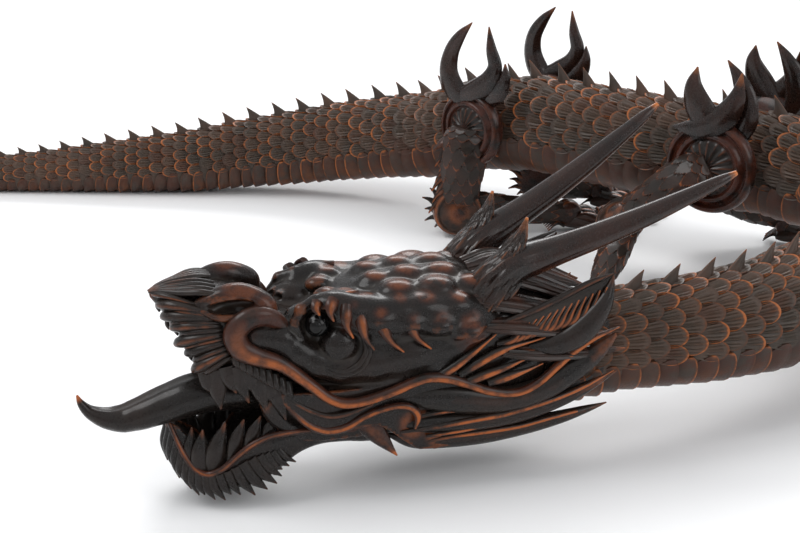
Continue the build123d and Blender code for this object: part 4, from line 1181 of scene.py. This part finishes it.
def carve_tongue():
    carving = Carving()
    steps = 90
    rows = through(TONGUE_SECTIONS, steps)
    rings, angle = limb_rings(rows[:, :3], rows[:, 3], rows[:, 4], UP, around=40)
    along = np.linspace(0, 1, steps)[:, None]
    groove = smooth(0.93, 1.0, np.sin(angle)) * smooth(0.1, 0.3, along) * (1 - smooth(0.75, 0.95, along))
    rings[..., 2] -= 0.55 * groove
    sides = smooth(0.2, 0.9, np.abs(np.cos(angle)))
    ripple = 0.12 * np.sin(along * 70 + 0.8 * np.cos(angle)) * sides * smooth(0.3, 0.4, along)
    rings[..., 2] += ripple * (1 - smooth(0.7, 0.9, along))
    add_tube(carving, rings, wear=0.02 + 0.9 * smooth(0.93, 1.0, along) + 0 * angle, dust=0.5 * groove + 0.12)
    return carving.move(HEAD_TURN, HEAD_ORIGIN)


def carve_horn(side, tip):
    """One horn, gnarled at the root, with a short front tine; the beam runs back to a worn tip."""
    carving = Carving()
    tip = np.array(tip, float)
    root = vec(40, 12.4, 62.4)
    beam = [(50.0, 11.2, 50.5, 6.6, 5.6), (47.0, 11.6, 55.2, 6.7, 6.0), (43.8, 12.0, 59.2, 6.2, 5.8)]
    for share, size in ((0, 5.6), (0.1, 4.9), (0.22, 4.2), (0.4, 3.7), (0.6, 3.1), (0.78, 2.4), (0.92, 1.7),
                        (1.0, 0.75)):
        sag = -1.6 * math.sin(math.pi * share)
        beam.append((*(root * (1 - share) + tip * vec(1, side, 1) * share + vec(0, 0, sag)), size,
                     0.95 * size))
    beam = np.array(beam)
    tine = np.array(((44, 12.3, 60, 4.4, 4.4), (40.6, 12.7, 66.0, 3.4, 3.2), (38.2, 13.0, 71.0, 1.8, 1.7),
                     (36.8, 13.4, 75.8, 0.35, 0.35)))
    for rows, steps, is_beam in ((beam, 170, True), (tine, 60, False)):
        rows = through(rows * vec(1, side, 1, 1, 1), steps)
        rings, angle = limb_rings(rows[:, :3], np.maximum(rows[:, 3], 0.3), np.maximum(rows[:, 4], 0.3),
                                  vec(0.2, 0, 1), around=112)
        along = np.linspace(0, 1, steps)[:, None]
        centre = rings.mean(1, keepdims=True)
        gnarl = 0.045 * np.cos(11 * angle + 9 * along + side) + 0.03 * np.cos(19 * angle - 16 * along + 1)
        gnarl = gnarl + 0.024 * np.cos(29 * angle + 23 * along)
        gnarl = gnarl + 0.05 * np.cos(3 * angle + 14 * along)
        strength = 1 - (smooth(0.14, 0.40, along) if is_beam else smooth(0.5, 0.95, along))
        flute = 0.014 * np.cos(7 * angle + 0.6) * smooth(0.25, 0.5, along) * (1 - smooth(0.85, 1.0, along))
        rings = centre + (rings - centre) * (1 + gnarl * strength + flute)[..., None]
        ridge = smooth(0.2, 1.0, gnarl / 0.12) * strength
        under = smooth(0.2, 0.9, -np.sin(angle)) * smooth(0.2, 0.5, along)
        worn = 0.06 + 0.30 * ridge + 0.22 * under + 1.0 * smooth(0.93, 1.0, along)
        worn = worn + 0.35 * smooth(0.55, 1.0, along) * (not is_beam)
        add_tube(carving, rings, wear=worn, dust=0.5 * strength * (1 - ridge), red=0.35 * under + 0.15)
    return carving.move(HEAD_TURN, HEAD_ORIGIN)


def carve_ear(side):
    """A long pointed ear: a smooth outer blade, a rim along its top and combed hair between them."""
    carving = Carving()
    outward = vec(1, side, 1, 1, 1)
    blade = ((38, 20.0, 40.6, 1.6, 1.0), (33, 21.2, 41.0, 2.8, 1.8), (27.5, 22.2, 42.4, 3.4, 2.0),
             (23, 22.5, 45.0, 3.6, 2.0), (19.2, 22.3, 48.6, 3.2, 1.8), (16.4, 21.6, 52.4, 2.4, 1.5),
             (14.8, 20.8, 56.0, 1.3, 0.9), (13.7, 20.2, 59.2, 0.25, 0.25))
    add_limb(carving, np.array(blade) * outward, vec(0, side, 0.15), steps=50, around=24, profile="lock",
             wear=(0.02, 0.05, 0.25), dust=0.15)
    rim = ((53, 17.8, 45.6, 0.5, 0.6), (45, 18.8, 48.4, 0.9, 0.9), (36, 19.4, 51.4, 1.0, 1.0),
           (28, 19.8, 54.6, 1.0, 1.0), (20.5, 20.0, 57.8, 0.8, 0.9), (13.9, 20.2, 59.8, 0.25, 0.25))
    add_limb(carving, np.array(rim) * outward, vec(0, side, 0), steps=44, wear=(0.04, 0.25, 0.1), dust=0.3)
    sheet = ((49, 18.0, 44.6, 1.8, 0.9), (41, 18.8, 46.2, 3.6, 1.1), (32, 19.4, 48.6, 4.6, 1.2),
             (24.5, 19.7, 51.6, 4.2, 1.2), (18.2, 19.8, 55.4, 2.4, 0.9), (14.6, 19.9, 58.6, 0.3, 0.3))
    add_limb(carving, np.array(sheet) * outward, vec(0, side, 0), steps=36, around=24,
             wear=(0.03, 0.03, 0.0), dust=0.8)
    for k in range(12):
        root = vec(47 - 2.3 * k, 19.6 + 0.13 * k, 42.6 + 0.42 * k)
        tip = root + vec(-9.0 + 0.3 * k, 0.5 - 0.04 * k, 5.6 + 0.32 * k)
        rows = tapering((root, root * 0.65 + tip * 0.35 + vec(-0.8, 0.7, -0.9),
                         root * 0.3 + tip * 0.7 + vec(-0.3, 0.5, -0.4), tip), 1.15, 1.0, root=0.8)
        add_limb(carving, rows * outward, vec(0, side, 0), steps=18, profile="lock", wear=(0.03, 0.55, 0.3),
                 dust=0.5)
    return carving.move(HEAD_TURN, HEAD_ORIGIN)


def carve_eyes():
    """Polished beads with a raised cornea, deep in their sockets."""
    carving = Carving()
    polar = np.linspace(0.02, np.pi - 0.02, 40)
    angle = circle(48)
    for side in (1, -1):
        look = unit(vec(0.45, side, 0.1))
        across = unit(np.cross(look, UP))
        raised = np.cross(across, look)
        radius = 3.3 + 0.3 * (1 - smooth(0.35, 0.75, polar)) - 0.10 * np.exp(-(((polar - 0.62) / 0.07) ** 2))
        rings = np.zeros((40, 48, 3))
        for k, (p, r) in enumerate(zip(polar, radius)):
            rings[k] = look * r * np.cos(p) + r * np.sin(p) * (across * np.cos(angle)[:,
                None] + raised * np.sin(angle)[:, None])
        add_tube(carving, rings + vec(95.8, side * 15.3, 52.4), wear=0.0)
    return carving.move(HEAD_TURN, HEAD_ORIGIN)


EYE = wood(
    "dark_eye", (0.0015, 0.0015, 0.0016), (0.004, 0.0025, 0.002), (0.2, 0.1, 0.03),
    rough=0.09, grain=0.0, coat=0.22, dusty=0.0,
)
# Aged brass for the pins: a dull brown film over yellow metal
BRASS = wood(
    "metal_pin", (0.30, 0.19, 0.08), (0.16, 0.095, 0.045), (0.6, 0.42, 0.18),
    rough=0.34, grain=0.5, coat=0.0, dusty=0.2,
)
BRASS.node_tree.nodes["Principled BSDF"].inputs["Metallic"].default_value = 0.9
COLLAR_FRONT, COLLAR_REAR, COLLAR_RADIUS = 28, 6, 17.2  # ahead of the neck joint, and the radius in front


def carve_collar():
    """The scaled collar at the back of the skull, which the first neck ring follows."""
    collar = carve_ring(COLLAR_FRONT - COLLAR_REAR, COLLAR_RADIUS, 1.01 * RADII[0], 1, 4)
    place_ring(collar, HEAD_JOINT + HEAD_FORWARD * COLLAR_FRONT, -HEAD_FORWARD)
    return collar


def make_head():
    for carving, name, material, slot, body, nodes in (
        (carve_skull(), "carved_skull", CARVED, "carved_wood", "head", ("skull",)),
        (carve_horn(1, (-24, 16, 84)), "carved_horn_left", HORNED, "horn_wood", "head", ("horn_left",)),
        (carve_horn(-1, (-15, -16, 97)), "carved_horn_right", HORNED, "horn_wood", "head", ("horn_right",)),
        (carve_ear(1), "carved_ear_left", CARVED, "carved_wood", "head", ("ear_left",)),
        (carve_ear(-1), "carved_ear_right", CARVED, "carved_wood", "head", ("ear_right",)),
        (carve_eyes(), "bead_eyes", EYE, "dark_eye", "head", ("eyes",)),
        (carve_collar(), "carved_collar", SCALED, "scaled_wood", "head", ()),
        (carve_jaw(), "carved_jaw", CARVED, "carved_wood", "jaw", ("lower_jaw",)),
        (carve_tongue(), "carved_tongue", CARVED, "carved_wood", "tongue", ("tongue",)),
    ):
        piece = carving.build(name, material, slot)
        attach(piece, body)
        if nodes:
            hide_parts(*nodes)
    for name in ("jaw_pin", "tongue_pin"):
        node = frame["nodes"][name]
        node.data.materials.clear()
        node.data.materials.append(BRASS)


make_head()


# ---------------------------------------------------------------- legs
def scale_relief(rows, columns, along, angle):
    """How far along its scale each point of a limb lies, where scales overlap in staggered rows."""
    share, across = np.full(np.broadcast(along, angle).shape,
                            -1.0), np.zeros(np.broadcast(along, angle).shape)
    place, turn = along * rows, angle / (2 * np.pi) * columns
    for step in (-1, 0, 1):
        index = np.floor(place) + step
        t = 2 * ((turn + 0.5 * (index % 2)) % 1.0) - 1
        v = 1 - (index + 1 - 0.55 * (1 - np.cos(t * np.pi / 2)) - place)
        fresh = (share < 0) & (v <= 1)
        share = np.where(fresh, v, share)
        across = np.where(fresh, t, across)
    return np.clip(share, 0, 1), across


def add_scaled_limb(carving, sections, up, rows, columns, depth=0.55, steps=150, around=110, wear=0.6):
    """A limb covered in small overlapping scales; sections as for add_limb."""
    path = through(sections, steps)
    rings, angle = limb_rings(path[:, :3], path[:, 3], path[:, 4], up, around=around)
    along = np.linspace(0, 1, steps)[:, None]
    share, across = scale_relief(rows, columns, along, angle)
    fade = smooth(0.0, 0.06, along) * (1 - smooth(0.95, 1.0, along))
    rim = smooth(0.80, 0.96, share)
    lift = depth * fade * (share**0.9 - 0.45 + 0.10 * np.cos(5 * np.pi * across) * (1 - rim) + 0.12 * rim)
    centre = rings.mean(1, keepdims=True)
    spoke = rings - centre
    rings = centre + spoke * (1 + lift / np.linalg.norm(spoke, axis=2))[..., None]
    patch = 0.5 + 0.5 * np.sin(3 * angle + 11 * along) * np.sin(17 * along)
    add_tube(carving, rings, wear=0.06 + wear * rim * fade * (0.35 + 0.65 * patch), dust=0.6 * (1 - rim),
             red=0.5 * patch)


def add_boss(carving, centre, axis, profile, around=72, ribs=(0, 0.0, 1.0), wear=0.1, dust=0.3, red=0.0,
             rim_wear=0.0):
    """A turned disc about an axis: rows of radius and height, with radial ribs inside a given radius."""
    rows = through(profile, 4 * len(profile))
    rows[:, 0] = np.maximum(rows[:, 0], THINNEST)
    first = unit(np.cross(axis, UP if abs(axis[2]) < 0.8 else vec(1, 0, 0)))
    second = np.cross(axis, first)
    angle = circle(around)[None]
    radius, height = rows[:, :1], rows[:, 1:2]
    widest = rows[:, 0].max()
    front = (np.arange(len(rows)) > rows[:, 0].argmax())[:, None]
    inside = front * (1 - smooth(0.86, 1.0, radius / ribs[2])) * smooth(0.12, 0.35, radius / ribs[2])
    wave = np.cos(ribs[0] * angle + 2.2 * radius / widest)
    height = height + ribs[1] * inside * wave
    rings = centre + height[..., None] * axis + radius[...,
        None] * (np.cos(angle)[..., None] * first + np.sin(angle)[..., None] * second)
    crest = inside * smooth(0.3, 1.0, wave)
    edge = np.exp(-(((radius / widest - 0.93) / 0.05) ** 2)) * front
    add_tube(carving, rings, wear=wear + 0.25 * crest + rim_wear * edge + 0 * angle,
             dust=dust * (1 - crest) * inside + 0 * angle,
             red=red * (1 - inside) + 0 * angle)


LAP_RADIUS = 6.5  # how near a joint the lapped ends lie


def lap_side(node, joint):
    """Which side of a lapped joint a CAD piece lies on, along the joint's axis."""
    offset = node_points(node) - place_of(joint)
    near = np.linalg.norm(offset, axis=1) < LAP_RADIUS
    return 1.0 if (offset[near] @ axis_of(joint)).mean() > 0 else -1.0


LEGS = {  # which ring carries the leg, and the radius of its round shoulder
    "fore_right": ("chest", 17.6),
    "fore_left": ("chest", 17.6),
    "hind_right": ("pelvis", 15.6),
    "hind_left": ("pelvis", 15.6),
}
TOE_SPACING, TOE_SPLAY = 6.4, 16  # between toes, and degrees that the outer ones turn out
SHOULDER_DEPTH = 10.0
SHOULDER_NECK = 12.6  # radius next to the body
# Flames over a shoulder: rows of tailward, outward and up from the hip, then half width and half thickness
FORE_FLAMES = (
    ((-5, 5, 12, 3.0, 2.2), (1, 6, 16, 5.4, 2.8), (6, 6.5, 22, 5.6, 2.6), (8.6, 6, 29, 3.6, 1.9),
     (8.0, 5, 36, 0.3, 0.3)),
    ((16, 6, 13, 0.3, 0.3), (10, 7, 13.2, 2.8, 2.0), (3, 7.5, 14.0, 4.8, 2.8), (-4, 7.5, 18.5, 5.2, 2.8),
     (-8.5, 7, 26, 3.6, 2.0), (-10, 6.5, 36, 0.3, 0.3)),
    ((-9, 3, 11, 3.0, 2.2), (-11, 2.5, 18, 4.6, 2.4), (-10, 2, 26, 4.2, 2.2), (-6.5, 1.5, 33, 2.6, 1.6),
     (-2.0, 1.5, 39, 0.3, 0.3)),
)
HIND_FLAMES = (
    ((2, 6, 11, 4.0, 2.6), (9, 6.5, 15, 5.4, 3.0), (12.5, 6.5, 22, 4.8, 2.8), (11.5, 6.0, 30, 3.8, 2.3),
     (7.0, 6, 37, 2.6, 1.7), (0.5, 6, 43.5, 0.3, 0.3)),
    ((6, 6, 12, 4.0, 2.6), (-2, 6.5, 15.5, 5.0, 3.0), (-9, 6.5, 20.5, 4.6, 2.7), (-12, 6, 27, 3.6, 2.2),
     (-10, 6, 34, 2.6, 1.7), (-8.5, 6, 43, 0.3, 0.3)),
    ((-8, 5, 12, 3.0, 2.2), (-14, 5.5, 17, 4.0, 2.4), (-17, 5.5, 23, 2.6, 1.8), (-17, 5.5, 29, 0.3, 0.3)),
)


def leg_places(name):
    """A leg's joints from the body to the toes, with their places and axes."""
    words = ("shoulder", "elbow", "wrist") if name.startswith("fore") else ("hip", "knee", "ankle")
    joints = [JOINTS[f"{name}_{word}"] for word in (*words, "toe_curl")]
    return joints, [place_of(joint) for joint in joints], [axis_of(joint) for joint in joints]


def carve_upper_leg(name):
    ring, radius = LEGS[name]
    joints, (hip, knee, _, _), (_, knee_axis, _, _) = leg_places(name)
    index = RINGS.index(ring)
    outward = unit((hip - (PLACES[index] + PLACES[index + 1]) / 2) * FLAT)
    carving = Carving()
    depth = SHOULDER_DEPTH
    add_boss(carving, hip, outward, (
        (0.0, 0.5), (0.8 * SHOULDER_NECK, 0.4), (SHOULDER_NECK, 0.9), (0.93 * radius, 0.30 * depth),
        (radius, 0.50 * depth),
        (0.99 * radius, 0.68 * depth), (0.94 * radius, 0.84 * depth), (0.87 * radius, 0.88 * depth),
        (0.82 * radius, 0.76 * depth),
        (0.77 * radius, 0.82 * depth), (0.71 * radius, 0.95 * depth), (0.64 * radius, 0.96 * depth),
        (0.59 * radius, 0.85 * depth),
        (0.50 * radius, 0.92 * depth), (0.25 * radius, 1.04 * depth), (0.0, 1.10 * depth)),
        around=108, ribs=(17, 0.30, 0.62 * radius), wear=0.05, dust=0.3, red=0.9, rim_wear=0.16)
    side = lap_side(f"{name}_upper_leg", joints[1])
    lap = knee + knee_axis * side * 3.1
    start = hip + outward * 0.72 * depth
    down = unit(lap - start)
    across = unit(np.cross(down, knee_axis))
    fore = name.startswith("fore")
    thick = 9.4 if fore else 9.8
    sections = [
        (*(start - down * 1.0), 0.72 * thick, 0.66 * thick),
        (*(start + down * 4.0), thick, 0.86 * thick),
        (*(start * 0.62 + lap * 0.38 + outward * 0.8), 0.98 * thick, 0.80 * thick),
        (*(start * 0.3 + lap * 0.7), 0.82 * thick, 0.52 * thick),
        (*(start * 0.08 + lap * 0.92), 7.6, 3.0),
        (*(lap + down * 2), 6.6, 2.5),
    ]
    add_scaled_limb(carving, sections, knee_axis, rows=9, columns=11)
    knee_radius = 8.8 if fore else 10.2
    add_boss(carving, knee + knee_axis * side * 0.3, knee_axis * side, (
        (0.0, 0.0), (0.9 * knee_radius, 0.0), (knee_radius, 0.6), (knee_radius, 3.4),
        (0.94 * knee_radius, 4.8), (0.84 * knee_radius, 5.2),
        (0.78 * knee_radius, 4.6), (0.6 * knee_radius, 5.3), (0.3 * knee_radius, 6.2), (0.0, 6.5)),
        ribs=(0, 0.0, knee_radius), wear=0.22, dust=0.45, red=0.8, rim_wear=0.35)
    # Hair that sweeps back from the limb, in a comb along its rear edge
    rear = across if across @ (PLACES[index + 1] - PLACES[index]) > 0 else -across
    for k in range(8):
        u = 0.22 + 0.09 * k
        root = start * (1 - u) + lap * u + rear * (0.62 * thick) - knee_axis * side * 0.5
        tip = root + rear * (5.0 + 1.2 * math.sin(2.1 * k)) + down * (6.5 + math.cos(1.7 * k))
        rows = tapering((root - down * 3, root + rear * 1.4, (root + tip) / 2 + rear * 1.2, tip), 1.9, 1.6,
                        root=0.9)
        add_limb(carving, rows, knee_axis * side, steps=18, profile="lock", wear=(0.05, 0.4, 0.4), dust=0.4,
                 red=0.3)
    # Flames that lick down over the front of the limb from the shoulder
    for k in range(5):
        turn = -0.9 + 0.45 * k
        ray = unit(down * math.cos(turn) + rear * math.sin(turn))
        root = hip + outward * (0.62 * depth) + ray * 0.78 * radius
        tip = root + ray * 5.5 + outward * 1.2
        rows = tapering((root - ray * 4, root + outward * 0.6, root + ray * 2.8 + outward * 1.2, tip), 3.0,
                        1.8, root=0.9)
        add_limb(carving, rows, outward, steps=18, profile="lock", wear=(0.05, 0.25, 0.5), dust=0.3, red=0.5)
    return carving


def carve_flames(name):
    ring, _ = LEGS[name]
    _, (hip, _, _, _), _ = leg_places(name)
    index = RINGS.index(ring)
    tailward = unit((PLACES[index + 1] - PLACES[index]) * FLAT)
    outward = unit((hip - (PLACES[index] + PLACES[index + 1]) / 2) * FLAT)
    frame_of = np.column_stack([tailward, outward, UP])
    carving = Carving()
    for rows in FORE_FLAMES if name.startswith("fore") else HIND_FLAMES:
        rows = np.array(rows, float)
        places = rows[:, :3] @ frame_of.T + hip
        path = through(np.hstack([places, rows[:, 3:]]), 48)
        rings, angle = limb_rings(path[:, :3], np.maximum(path[:, 3], 0.1), np.maximum(path[:, 4], 0.1),
                                  outward, around=28, profile="blade")
        along = np.linspace(0, 1, 48)[:, None]
        keel = smooth(0.8, 1.0, np.sin(angle))
        edge = smooth(0.9, 1.0, np.abs(np.cos(angle)))
        worn = 0.02 + 0.42 * smooth(0.84, 1.0, along) + 0.10 * edge + 0.04 * keel
        add_tube(carving, rings, wear=worn, dust=0.12 + 0 * worn,
                 red=0.15 + 0.45 * smooth(0.7, 0.98, along) + 0 * worn)
    return carving


def carve_lower_leg(name):
    joints, (_, knee, ankle, _), (_, knee_axis, ankle_axis, _) = leg_places(name)
    side = lap_side(f"{name}_lower_leg", joints[1])
    end_side = lap_side(f"{name}_lower_leg", joints[2])
    fore = name.startswith("fore")
    carving = Carving()
    start = knee + knee_axis * side * 3.0
    finish = ankle + ankle_axis * end_side * 2.3
    down = unit(finish - start)
    sections = [
        (*(start - down * 3), 6.0, 2.3),
        (*(start + down * 2), 7.2, 2.6),
        (*(start * 0.78 + finish * 0.22), 7.4, 3.8),
        (*(start * 0.5 + finish * 0.5), 6.2, 5.2),
        (*(start * 0.2 + finish * 0.8), 4.9, 3.6),
        (*(finish + down * 1.5), 4.2, 1.9),
    ]
    add_scaled_limb(carving, sections, knee_axis, rows=9, columns=9, depth=0.45)
    knee_radius = 8.6 if fore else 9.8
    add_boss(carving, knee + knee_axis * side * 0.3, knee_axis * side, (
        (0.0, 0.0), (0.9 * knee_radius, 0.0), (knee_radius, 0.7), (0.98 * knee_radius, 3.2),
        (0.88 * knee_radius, 4.6), (0.6 * knee_radius, 5.2),
        (0.0, 5.8)), wear=0.15, dust=0.4, red=0.6, rim_wear=0.3)
    add_boss(carving, ankle + ankle_axis * end_side * 0.3, ankle_axis * end_side, (
        (0.0, 0.0), (4.8, 0.0), (5.3, 0.5), (5.2, 2.4), (4.4, 3.6), (2.4, 4.2), (0.0, 4.4)), around=48,
        wear=0.15, dust=0.4, red=0.4, rim_wear=0.3)
    # Fringe of spikes round the back of the knee
    away = unit(np.cross(down, knee_axis))
    away = away if away @ UP > 0 or fore else -away
    back = -down
    for k in range(8):
        turn = -1.25 + 0.36 * k
        ray = unit(back * math.cos(turn) + away * math.sin(turn))
        root = knee + knee_axis * side * 2.6 + ray * (knee_radius - 1.5)
        tip = root + ray * (5.6 + 0.8 * math.cos(3 * k)) + away * 1.2
        if tip[2] < 1.0:
            continue
        rows = tapering((root - ray * 2, root, (root + tip) / 2 + away * 0.5, tip), 1.8, 1.5, root=1.0)
        add_limb(carving, rows, knee_axis * side, steps=16, profile="lock", wear=(0.06, 0.35, 0.4), dust=0.4)
    return carving


def foot_turn(name):
    """Where a foot stands, and its axes: ahead, left and up."""
    _, (_, _, ankle, toe), _ = leg_places(name)
    ahead = unit((toe - ankle) * FLAT)
    return ankle * FLAT, np.column_stack([ahead, np.cross(UP, ahead), UP])


def carve_foot(name):
    joints, (_, _, ankle, _), (_, _, ankle_axis, _) = leg_places(name)
    side = lap_side(f"{name}_foot", joints[2])
    origin, turn = foot_turn(name)
    across = float(ankle_axis @ turn[:, 1]) * side
    carving = Carving()
    height = ankle[2]
    add_limb(carving, ((-4.5, across * 2.2, 3.4, 3.0, 1.2), (-2, across * 2.0, 4.2, 4.6, 2.6),
                       (3, across * 0.8, 4.9, 6.0, 3.9), (8, 0, 4.6, 8.2, 3.8), (11, 0, 3.9, 9.0, 3.2)),
             UP, steps=28, around=30, wear=(0.1, 0.12, 0.2), dust=0.5, red=0.3)
    add_boss(carving, vec(0, across * 0.3, height), vec(0, 1, 0) * np.sign(across), (
        (0.0, 0.0), (4.6, 0.0), (5.1, 0.5), (5.0, 2.4), (4.2, 3.6), (2.2, 4.1), (0.0, 4.3)), around=48,
        wear=0.15, dust=0.4, red=0.4, rim_wear=0.3)
    add_limb(carving, ((0, across * 2.2, height, 3.6, 2.0), (3, across * 1.8, 7.2, 4.2, 2.8),
                       (7, across * 0.8, 5.6, 5.6, 3.2), (10, 0, 4.6, 7.0, 2.8)),
             UP, steps=20, around=24, wear=(0.08, 0.2, 0.1), dust=0.5)
    for lateral in (-TOE_SPACING, 0.0, TOE_SPACING):
        add_limb(carving, ((2.5, 0.45 * lateral, 6.4, 1.2, 1.0), (6.5, 0.8 * lateral, 7.6, 2.4, 1.8),
                           (10.2, lateral, 6.9, 2.6, 1.9), (12.2, lateral, 5.0, 1.2, 0.9)),
                 UP, steps=20, around=18, wear=(0.15, 0.55, 0.1), dust=0.5, red=0.3)
    for k in range(5):  # hair over the heel
        lateral = -3.6 + 1.8 * k
        add_limb(carving, tapering(((-2.4, lateral * 0.8, 3.0), (-5.0, lateral, 4.4),
                                    (-7.0, lateral * 1.15, 3.6), (-9.4, lateral * 1.3, 1.6)), 1.2, 0.9,
                                    root=1.0),
                 UP, steps=14, profile="lock", wear=(0.05, 0.4, 0.4), dust=0.4)
    return carving.move(turn, origin)


def carve_toes(name):
    _, (_, _, _, hinge), _ = leg_places(name)
    origin, turn = foot_turn(name)
    reach = float((hinge - origin) @ turn[:, 0])
    carving = Carving()
    for lateral, splay in ((-TOE_SPACING, -TOE_SPLAY), (0.0, 0), (TOE_SPACING, TOE_SPLAY)):
        c, s = math.cos(math.radians(splay)), math.sin(math.radians(splay))
        begin = len(carving.points)
        add_limb(carving, ((-2.0, 0, 3.9, 1.6, 1.5), (0.6, 0, 4.3, 2.2, 2.3), (3.6, 0, 5.2, 2.0, 2.1),
                           (6.6, 0, 5.9, 2.2, 2.3), (9.4, 0, 5.2, 1.9, 1.9), (11.0, 0, 4.4, 1.5, 1.5)),
                 UP, steps=34, around=22, wear=(0.08, 0.3, 0.1), dust=0.4, red=0.3)
        add_limb(carving, ((8.6, 0, 4.9, 1.7, 1.8), (11.0, 0, 5.0, 1.6, 1.8), (13.4, 0, 4.2, 1.25, 1.4),
                           (15.4, 0, 2.7, 0.8, 0.9), (16.6, 0, 0.9, 0.25, 0.3)),
                 UP, steps=26, around=18, wear=(0.05, 0.15, 0.9), dust=0.1, red=0.2)
        for fold in range(3):
            add_limb(carving, ((2.2 + 2.6 * fold, -2.0, 4.6, 0.5, 0.5),
                               (2.4 + 2.6 * fold, 0, 7.2 + 0.25 * fold, 0.7, 0.6),
                               (2.2 + 2.6 * fold, 2.0, 4.6, 0.5, 0.5)),
                     UP, steps=14, around=12, wear=(0.45, 0.2, 0.0), dust=0.2)
        spin = np.array([[c, -s, 0], [s, c, 0], [0, 0, 1]])
        for k in range(begin, len(carving.points)):
            carving.points[k] = carving.points[k] @ spin.T + vec(reach, lateral, 0)
    return carving.move(turn, origin)


def make_legs():
    for name in LEGS:
        for part, carve, material, slot, body in (
            ("upper_leg", carve_upper_leg, CARVED, "carved_wood", f"{name}_upper_leg"),
            ("flames", carve_flames, HORNED, "horn_wood", f"{name}_upper_leg"),
            ("lower_leg", carve_lower_leg, CARVED, "carved_wood", f"{name}_lower_leg"),
            ("foot", carve_foot, CARVED, "carved_wood", f"{name}_foot"),
            ("toes", carve_toes, CARVED, "carved_wood", f"{name}_toes"),
        ):
            piece = carve(name).build(f"carved_{name}_{part}", material, slot)
            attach(piece, body)
            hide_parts(f"{name}_{part}")


make_legs()


# ---------------------------------------------------------------- studio
FLOOR_ROWS, FLOOR_SIDES = 48, 72
CAMERA_PLACE = (-0.0655, -0.4074, 0.194)  # metres, from the floor under the neck joint
CAMERA_TILT = 19  # degrees down
FOCAL_LENGTH, SENSOR_WIDTH, NEAREST = 67.2, 36, 0.01
WORLD_COLOUR, WORLD_STRENGTH = (0.97, 0.98, 1.0, 1), 0.84


def stage_floor():
    """A pale dish: flat under the animal, curving up on every side far away."""
    outline = ((0.02, 0), (1.0, 0), (2.2, 0), (2.8, 0.03), (3.3, 0.18), (3.7, 0.6), (3.9, 1.3), (4.0, 2.4))
    profile = through(outline, FLOOR_ROWS)
    angle = circle(FLOOR_SIDES)
    rings = np.stack([profile[:, :1] * np.cos(angle), profile[:, :1] * np.sin(angle),
                      profile[:, 1:] + 0 * angle], -1)
    points = np.vstack([rings.reshape(-1, 3), vec(0, 0, 0)])
    hub = [(k, (k + 1) % FLOOR_SIDES, FLOOR_SIDES * FLOOR_ROWS) for k in range(FLOOR_SIDES)]
    mesh = bpy.data.meshes.new("studio_floor")
    dish = grid_quads(FLOOR_ROWS, FLOOR_SIDES, wrap=True)[:, ::-1].tolist()
    mesh.from_pydata(points.tolist(), [], hub + dish)
    mesh.polygons.foreach_set("use_smooth", np.ones(len(mesh.polygons), bool))
    material = bpy.data.materials.new("studio_paper")
    material.use_nodes = True
    shader = material.node_tree.nodes["Principled BSDF"]
    shader.inputs["Base Color"].default_value = (0.87, 0.872, 0.875, 1)
    shader.inputs["Roughness"].default_value = 0.6
    mesh.materials.append(material)
    floor = bpy.data.objects.new("studio_floor", mesh)
    bpy.context.scene.collection.objects.link(floor)


def area_light(name, place, target, size, power):
    """A soft lamp; its place and what it points at are metres from the floor under the neck joint."""
    light = bpy.data.lights.new(name, "AREA")
    light.shape = "RECTANGLE"
    light.size, light.size_y = size
    light.energy = power
    lamp = bpy.data.objects.new(name, light)
    lamp.location = Vector(HEAD_ORIGIN * MM) + Vector(place)
    lamp.rotation_euler = (Vector(target) - Vector(place)).to_track_quat("-Z", "Y").to_euler()
    bpy.context.scene.collection.objects.link(lamp)


stage_floor()
area_light("key", (-0.85, -0.15, 1.25), (-0.06, 0.08, 0.03), (0.9, 0.6), 9)
area_light("fill", (1.2, -0.8, 0.9), (0.0, 0.1, 0.03), (0.9, 0.9), 6)
area_light("back", (0.2, 1.4, 1.2), (-0.03, 0.12, 0.03), (1.2, 0.5), 12)

world = bpy.data.worlds.new("studio")
bpy.context.scene.world = world
world.use_nodes = True
world.node_tree.nodes["Background"].inputs["Color"].default_value = WORLD_COLOUR
world.node_tree.nodes["Background"].inputs["Strength"].default_value = WORLD_STRENGTH

camera = bpy.data.objects.new("camera", bpy.data.cameras.new("camera"))
camera.data.lens = FOCAL_LENGTH
camera.data.sensor_width = SENSOR_WIDTH
camera.data.clip_start = NEAREST
camera.location = HEAD_ORIGIN * MM + vec(*CAMERA_PLACE)
camera.rotation_euler = (math.radians(90 - CAMERA_TILT), 0, 0)
bpy.context.scene.collection.objects.link(camera)
bpy.context.scene.camera = camera
bpy.context.scene.view_settings.view_transform = "Standard"
